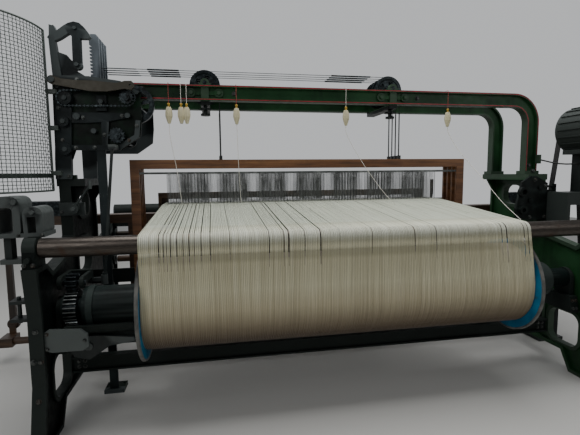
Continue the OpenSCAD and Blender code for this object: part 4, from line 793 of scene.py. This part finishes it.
# %%
RED_LINE, tree, shader = start("red_line_paint", **{"Roughness": 0.45})
here = place(tree)
line_colour = ramp(tree, noise(tree, here, 30, 5), [(0.3, "#660a1b"), (0.55, "#920f26"), (0.75, "#a82036")])
flaked = ramp(tree, noise(tree, here, 12, 6, 0.7), [(0.66, 0.0), (0.72, 1.0)])
line_colour = mix(tree, flaked, line_colour, "#254a30")
finish_surface(tree, shader, line_colour, None, noise(tree, here, 200, 2), 0.1, 0.2)

ARCH_MIDDLE_Y, FLANGE_HALF, PROUD = -168, 28, 0.3
ARCH_Y = ARCH_MIDDLE_Y - FLANGE_HALF - PROUD
ARCH_TOP, ARCH_SECTION, ARCH_RIGHT, ARCH_LEFT, CORNER = 1776, 88, 1495, -1150, 190
LINE_WIDTH, LINE_INSETS = 5, (2.5, ARCH_SECTION - 8.5)  # each flange is 12 thick
LEG_MIDDLE, LEG_FOOT = 1450, 1254


def strip_on_arch(points, faces, inset):
    """Adds a line inset mm inside the arch's outer edge: along the top, round the corner, down the leg."""
    corner_x, corner_z = ARCH_RIGHT - CORNER, ARCH_TOP - CORNER
    path = [(ARCH_LEFT + 4, ARCH_TOP, 0, 1), (ARCH_LEFT + (corner_x - ARCH_LEFT) / 2, ARCH_TOP, 0, 1)]
    for k in range(17):
        a = math.radians(90 - 90 * k / 16)
        path.append((corner_x + CORNER * math.cos(a), corner_z + CORNER * math.sin(a), math.cos(a), math.sin(a)))
    path += [(ARCH_RIGHT, LEG_MIDDLE, 1, 0), (ARCH_RIGHT, LEG_FOOT, 1, 0)]
    base = len(points)
    for x, z, nx, nz in path:
        for depth in (inset, inset + LINE_WIDTH):
            points.append((x - nx * depth, ARCH_Y, z - nz * depth))
    for k in range(len(path) - 1):
        a = base + 2 * k
        faces.append((a, a + 1, a + 3, a + 2))


points, faces = [], []
for inset in LINE_INSETS:
    strip_on_arch(points, faces, inset)
lines = mesh_object("painted_lines", points, faces)
paint(lines, RED_LINE)
print("painted lines at y", round(ARCH_Y, 1))

# %% [markdown]
# ## Spare pirns on strings
#
# Weft pirns hang from the arch by thin strings, ready for the weaver. Each is a turned cop of yarn with
# winding ridges and a coloured paper tube that sticks out at its nose.

# %%
COP = threads("cop_yarn", "#d8d0ae", "#ece5c9", "#a79e7d", axis="object")
TIP = plain_skin("pirn_tip", 0.5, 60, [(0.3, "#9c7a22"), (0.6, "#c7a33a")], 300)


def string_material(name, dark, light):
    """Twisted cotton string: slanting dark and light bands."""
    material, tree, shader = start(name, **{"Roughness": 0.85, "Sheen Weight": 0.2})
    twist = add(tree, "ShaderNodeTexWave", {"Vector": place(tree), "Scale": 180.0, "Distortion": 1.0},
                bands_direction="DIAGONAL").outputs["Fac"]
    finish_surface(tree, shader, ramp(tree, twist, [(0.2, dark), (0.8, light)]), None, twist, 0.2, 0.4)
    return material


RED_STRING = string_material("red_string", "#7c1c1f", "#b93a36")
WHITE_STRING = string_material("white_string", "#dad6ca", "#f7f4eb")


def lathe(points, faces, centre, profile, sides=24):
    """Turns a profile of (radius, z) about an upright axis and closes its ends."""
    base = len(points)
    for r, z in profile:
        for s in range(sides):
            a = 2 * math.pi * s / sides
            points.append((centre[0] + r * math.cos(a), centre[1] + r * math.sin(a), z))
    skin(faces, base, len(profile), sides)


CAD_PIRN_R = 21
PIRN_Y = box_mm("spare_pirns")[0][1] + CAD_PIRN_R
# The X of each pirn and the material of its string.
PIRNS = [(-934, RED_STRING), (-865.5, WHITE_STRING), (-834.5, WHITE_STRING), (-551, RED_STRING),
         (117, WHITE_STRING), (800, RED_STRING)]
COP_FOOT, COP_LENGTH, RIDGES, RIDGE_PITCH, COP_R = 1550, 93, 30, 3.1, 20
SHOULDER, NOSE = 0.42, 0.62   # shares of the cop's length where it is full, and where it narrows again
cop_profile = [(7.5, COP_FOOT - 1)]
for k in range(RIDGES):
    z = COP_FOOT + k * RIDGE_PITCH
    t = (z - COP_FOOT) / COP_LENGTH
    r = 8.5 + 11.5 * t / SHOULDER if t < SHOULDER else COP_R - 9 * max(0, (t - NOSE) / (1 - NOSE)) ** 1.4
    cop_profile += [(r - 0.35, z), (min(r + 0.55, COP_R + 0.5), z + 1.5)]
tip_profile = [(6.2, 1640), (6.2, 1656), (7.6, 1657), (7.6, 1661), (5.5, 1662.5), (2.0, 1663)]
points, faces, tip_points, tip_faces = [], [], [], []
for x, _ in PIRNS:
    lathe(points, faces, (x, PIRN_Y), cop_profile)
    lathe(tip_points, tip_faces, (x, PIRN_Y), tip_profile, 16)
cops = mesh_object("pirn_cops", points, faces, smooth=True)
paint(cops, COP)
tips = mesh_object("pirn_tips", tip_points, tip_faces, smooth=True)
paint(tips, TIP)
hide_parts("spare_pirns")
print("pirns:", len(PIRNS), "at y", round(PIRN_Y, 1))


# %%
def curve_points(anchors, steps=6):
    """A smooth line through anchor points (Catmull-Rom)."""
    out = []
    padded = [anchors[0]] + list(anchors) + [anchors[-1]]
    for a, b, c, d in zip(padded, padded[1:], padded[2:], padded[3:]):
        for k in range(steps):
            t = k / steps
            out.append(tuple(0.5 * ((2 * q) + (r - p) * t + (2 * p - 5 * q + 4 * r - s) * t * t
                                    + (3 * q - p - 3 * r + s) * t ** 3) for p, q, r, s in zip(a, b, c, d)))
    out.append(tuple(anchors[-1]))
    return out


def thread(name, path, radius, material, replaces=None):
    """A hanging string as a poly curve; returns its length. Each point carries the radius."""
    curve = bpy.data.curves.new(name, "CURVE")
    curve.dimensions = "3D"
    curve.bevel_depth = 1.0
    curve.bevel_resolution = 2
    curve.use_fill_caps = True
    spline = curve.splines.new("POLY")
    spline.points.add(len(path) - 1)
    for point, at in zip(spline.points, path):
        point.co, point.radius = (*mm(*at), 1), mm(radius)
    obj = bpy.data.objects.new(name, curve)
    bpy.context.collection.objects.link(obj)
    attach(obj, "frame")
    curve.materials.append(material)
    length = sum(math.dist(a, b) for a, b in zip(path, path[1:]))
    if replaces:
        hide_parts(replaces)
    return length


# Each string lies over the arch's top edge and drops to the tip of its pirn.
OVER_EDGE, DROP_FROM, DROP_TO = [(30, 1778.5), (8, 1778.5), (2.4, 1777.4), (0.3, 1774)], 1768, 1662
STRING_R, WEFT_R, LEAD_R = 1.2, 1.5, 5
lengths = []
for n, (x, string) in enumerate(PIRNS):
    path = [(x, PIRN_Y + dy, z) for dy, z in OVER_EDGE] + [(x, PIRN_Y, DROP_FROM)]
    path += [(x + 0.5 * math.sin(k), PIRN_Y, DROP_FROM - (DROP_FROM - DROP_TO) * k / 10) for k in range(1, 11)]
    lengths.append(thread("pirn_string_%d" % (n + 1), path, STRING_R, string))
print("string lengths in mm:", [round(v) for v in lengths])

# %% [markdown]
# The motor's lead leaves a small box on the arch's leg, sags, and goes into the motor's column. Its route
# is the one in the CAD source.

# %%
LEAD = [(1497, -213, 1335), (1509, -213, 1335), (1529, -222, 1329), (1545, -232, 1324), (1561, -244, 1318),
        (1577, -259, 1313), (1594, -274, 1308), (1610, -288, 1306), (1626, -303, 1304), (1642, -315, 1304),
        (1658, -325, 1304), (1678, -334, 1306), (1690, -334, 1306)]
LEAD_SKIN = plain_skin("lead_skin", 0.5, 40, [(0.35, "#0f1110"), (0.7, "#2c2f2d")], 500)
length = thread("motor_lead", curve_points(LEAD, 4), LEAD_R, LEAD_SKIN,
                replaces="motor_cable")
print("lead length in mm:", round(length))

# %% [markdown]
# Four loose ends of weft hang from the pirns: they fall to the warp, and the right one goes over to the
# warp's edge.

# %%
LOOSE = [
    [(-551, PIRN_Y, 1549), (-549, PIRN_Y + 6, 1480), (-543, -180, 1300), (-534, -150, 1140), (-531, -146, 1083)],
    [(117, PIRN_Y, 1549), (124, PIRN_Y - 3, 1490), (205, -244, 1340), (330, -268, 1160), (421, -280, 1058)],
    [(800, PIRN_Y, 1549), (812, PIRN_Y - 3, 1500), (864, -262, 1391), (960, -380, 1210), (1004, -500, 1078),
     (1022, -640, 984)],
    [(-934, PIRN_Y, 1549), (-932, PIRN_Y + 4, 1470), (-905, -190, 1290), (-884, -160, 1083)]]
for n, anchors in enumerate(LOOSE):
    name = "loose_weft_%d" % (n + 1)
    print(name, "mm:", round(thread(name, curve_points(anchors), WEFT_R, WHITE_STRING)))

# %% [markdown]
# ## The yarn on the beam
#
# The CAD yarn is a plain cylinder. This one is turned with more than four hundred ridges, one for each
# layer of threads laid side by side, and turns with the beam.

# %%
yarn_low, yarn_high = box_mm("warp_yarn")
yarn_y, yarn_z = (yarn_low[1] + yarn_high[1]) / 2, (yarn_low[2] + yarn_high[2]) / 2
yarn_radius = (yarn_high[2] - yarn_low[2]) / 2
points, faces = [], []
RINGS, SIDES, END_GAP = 840, 64, 0.4
for k in range(RINGS + 1):
    x = yarn_low[0] + END_GAP + (yarn_high[0] - yarn_low[0] - 2 * END_GAP) * k / RINGS
    ridge = -0.2 - random.uniform(0.0, 0.5) if k % 2 == 0 else -1.1 - random.uniform(0.0, 0.7)
    r = yarn_radius + ridge + 0.2 * math.sin(x / 37) - 0.2
    for s in range(SIDES):
        a = 2 * math.pi * s / SIDES
        points.append((x, yarn_y + r * math.cos(a), yarn_z + r * math.sin(a)))
for k in range(RINGS):
    for s in range(SIDES):
        a, b = k * SIDES + s, k * SIDES + (s + 1) % SIDES
        faces.append((a, a + SIDES, b + SIDES, b))
faces.append(tuple(range(SIDES)))
faces.append(tuple(RINGS * SIDES + s for s in reversed(range(SIDES))))
roll = mesh_object("yarn_roll", points, faces, body="warp_beam_turning", smooth=True)
paint(roll, YARN)
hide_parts("warp_yarn")
print("yarn radius in mm:", round(yarn_radius), "faces:", len(faces))

# %% [markdown]
# ## The woven cloth
#
# From the fell the cloth lies level to the breast beam, bends over it and goes down round the take-up
# roller. Its material is a plain weave: two families of waves that cross.

# %%
WEAVE, tree, shader = start("plain_weave", **{"Roughness": 0.9, "Sheen Weight": 0.3, "Sheen Roughness": 0.5,
                                             "Specular IOR Level": 0.15})
uv = add(tree, "ShaderNodeUVMap").outputs["UV"]
ends = add(tree, "ShaderNodeTexWave", {"Vector": uv, "Scale": 160.0, "Distortion": 0.6}, bands_direction="X")
picks = add(tree, "ShaderNodeTexWave", {"Vector": uv, "Scale": 130.0, "Distortion": 0.6}, bands_direction="Y")
over = math_node(tree, "MULTIPLY", ends.outputs["Fac"], picks.outputs["Fac"])
tone = noise(tree, uv, 9, 6, 0.6)
colour = ramp(tree, tone, [(0.3, "#c9c0a4"), (0.6, "#e4dcc6")])
colour = mix(tree, ramp(tree, over, [(0.0, 0.55), (0.5, 0.0)]), colour, "#8f876c")
finish_surface(tree, shader, colour, None, over, 0.25, 0.5)

BREAST_Y, TAKE_UP_Y, TAKE_UP_Z, CLOTH_HALF = 740, 732, 800, 1.5
COLS, LEVEL = 90, 16
bend = cloth_high[1] - BREAST_Y - CLOTH_HALF
centre_z = cloth_high[2] - CLOTH_HALF - bend
roll_r = cloth_high[1] - CLOTH_HALF - TAKE_UP_Y
path = [(cloth_low[1] + 0.2 + (BREAST_Y - cloth_low[1]) * k / LEVEL, cloth_high[2] - CLOTH_HALF)
        for k in range(LEVEL + 1)]
path += arc(BREAST_Y, centre_z, bend, range(80, -1, -10))
path += [(cloth_high[1] - CLOTH_HALF, centre_z + (TAKE_UP_Z - centre_z) * k / 5) for k in range(1, 6)]
path += arc(TAKE_UP_Y, TAKE_UP_Z, roll_r, range(-15, -91, -15))
points, faces, uvs = [], [], []
run = 0.0
for k, (y, z) in enumerate(path):
    if k:
        run += math.hypot(y - path[k - 1][0], z - path[k - 1][1])
    for c in range(COLS + 1):
        x = cloth_low[0] + (cloth_high[0] - cloth_low[0]) * c / COLS
        ripple = 0.8 * math.sin(x / 61 + k * 0.4) * math.sin(k * 0.55)
        points.append((x, y, z + ripple) if k <= LEVEL else (x, y + ripple * 0.4, z))
        uvs.append((x / 1000, run / 1000))
for k in range(len(path) - 1):
    for c in range(COLS):
        a = k * (COLS + 1) + c
        faces.append((a, a + 1, a + COLS + 2, a + COLS + 1))
cloth = mesh_object("woven_cloth", points, faces, smooth=True, uvs=uvs)
paint(cloth, WEAVE)
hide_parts("cloth")
print("cloth path in mm:", round(run))

# %% [markdown]
# ## Bolts
#
# A ray cast on to a CAD node finds the surface and its direction, so each bolt head sits flat on the
# casting it holds, with a washer under it.

# %%
def bolts(name, node, shots, size):
    """Puts hex heads where level rays towards the weaver, each from a point in mm, hit a node."""
    points, faces = [], []
    for at in shots:
        hit, where, normal, _ = nodes[node].ray_cast(Vector(mm(*at)), Vector((0, 1, 0)))
        if not hit:
            print(name, "missed", at)
            continue
        centre = Vector(where) * 1000
        out = Vector(normal).normalized()
        side = sideways(out, (0.0, 0.02, 1.0), (1.0, 0.0, 0.0))
        turned = random.uniform(0, 1)
        for number, (r, height, sides) in enumerate(BOLT_RINGS):
            base = len(points)
            ring(points, centre + out * (height * size), side, out.cross(side), r * size, sides, turned)
            if number % 3:
                last = base - sides
                for s in range(sides):
                    t = (s + 1) % sides
                    faces.append((last + s, last + t, base + t, base + s))
            if number % 3 == 2:
                faces.append(tuple(base + s for s in range(sides)))
    if faces:
        paint(mesh_object(name, points, faces), BOLT)
    print(name, "bolts:", len(points) // sum(sides for _, _, sides in BOLT_RINGS))


# Radius and height, as shares of a bolt's size, and sides: three rings for the washer, three for the head.
BOLT_RINGS = [(0.80, 0.0, 24), (0.80, 0.13, 24), (0.70, 0.15, 24),
              (0.575, 0.15, 6), (0.575, 0.62, 6), (0.49, 0.70, 6)]
BOLT = bare_metal("bolt_heads", "#4a4d4b", "#6d706d", "#262928", rough=(0.4, 0.6), rust_at=0.56)
BEHIND, NEAR = -1000, -600   # Y where the rays start: outside the whole loom, or inside its castings


def grid(xs, y, zs):
    return [(x, y, z) for x in xs for z in zs]


def spots(y, *places):
    return [(x, y, z) for x, z in places]


bolts("arch_bolts", "arches", grid((-1120, -1080), NEAR, (1712, 1752))
      + grid((-745, -715, -560, 425, 455, 610), NEAR, (1732,)) + grid((1451,), NEAR, (1262, 1300)), 18)
bolts("dobby_foot_bolts", "dobby_near_plate", spots(
    NEAR, (-1520, 1256), (-1470, 1256), (-1490, 1450), (-1425, 1410), (-1330, 1410), (-1230, 1412),
    (-1150, 1450), (-1500, 1620), (-1500, 1735), (-1400, 1772), (-1250, 1752), (-1140, 1716), (-1104, 1530),
    (-1284, 1640), (-1276, 1480), (-1180, 1582), (-1380, 1570)), 13)
bolts("left_frame_bolts", "side_frame_left", grid((-1515, -1485), BEHIND, (60, 420))
      + grid((-1500,), BEHIND, (240, 560)), 16)
bolts("right_frame_bolts", "side_frame_right", grid((1485, 1515), BEHIND, (60, 420))
      + grid((1500,), BEHIND, (240, 560))
      + spots(NEAR, (1512, 950), (1512, 1160), (1430, 1200), (1400, 950)), 16)
bolts("rail_bolts", "cross_rails", grid((-1446, -1416, 1416, 1446), BEHIND, (216, 249)), 15)
bolts("cradle_bolts", "beam_cradles", grid((-1456, -1434, 1434, 1456), BEHIND, (425, 470)), 14)
bolts("roller_bracket_bolts", "backrest_brackets", grid((-1518, -1482, 1482, 1518), BEHIND, (868,)), 13)
bolts("casting_bolts", "pick_castings", grid((-1680, -1580, -1480), BEHIND, (986,))
      + spots(BEHIND, (-1460, 540), (-1460, 470), (-1300, 500), (-1516, 1060)), 11)
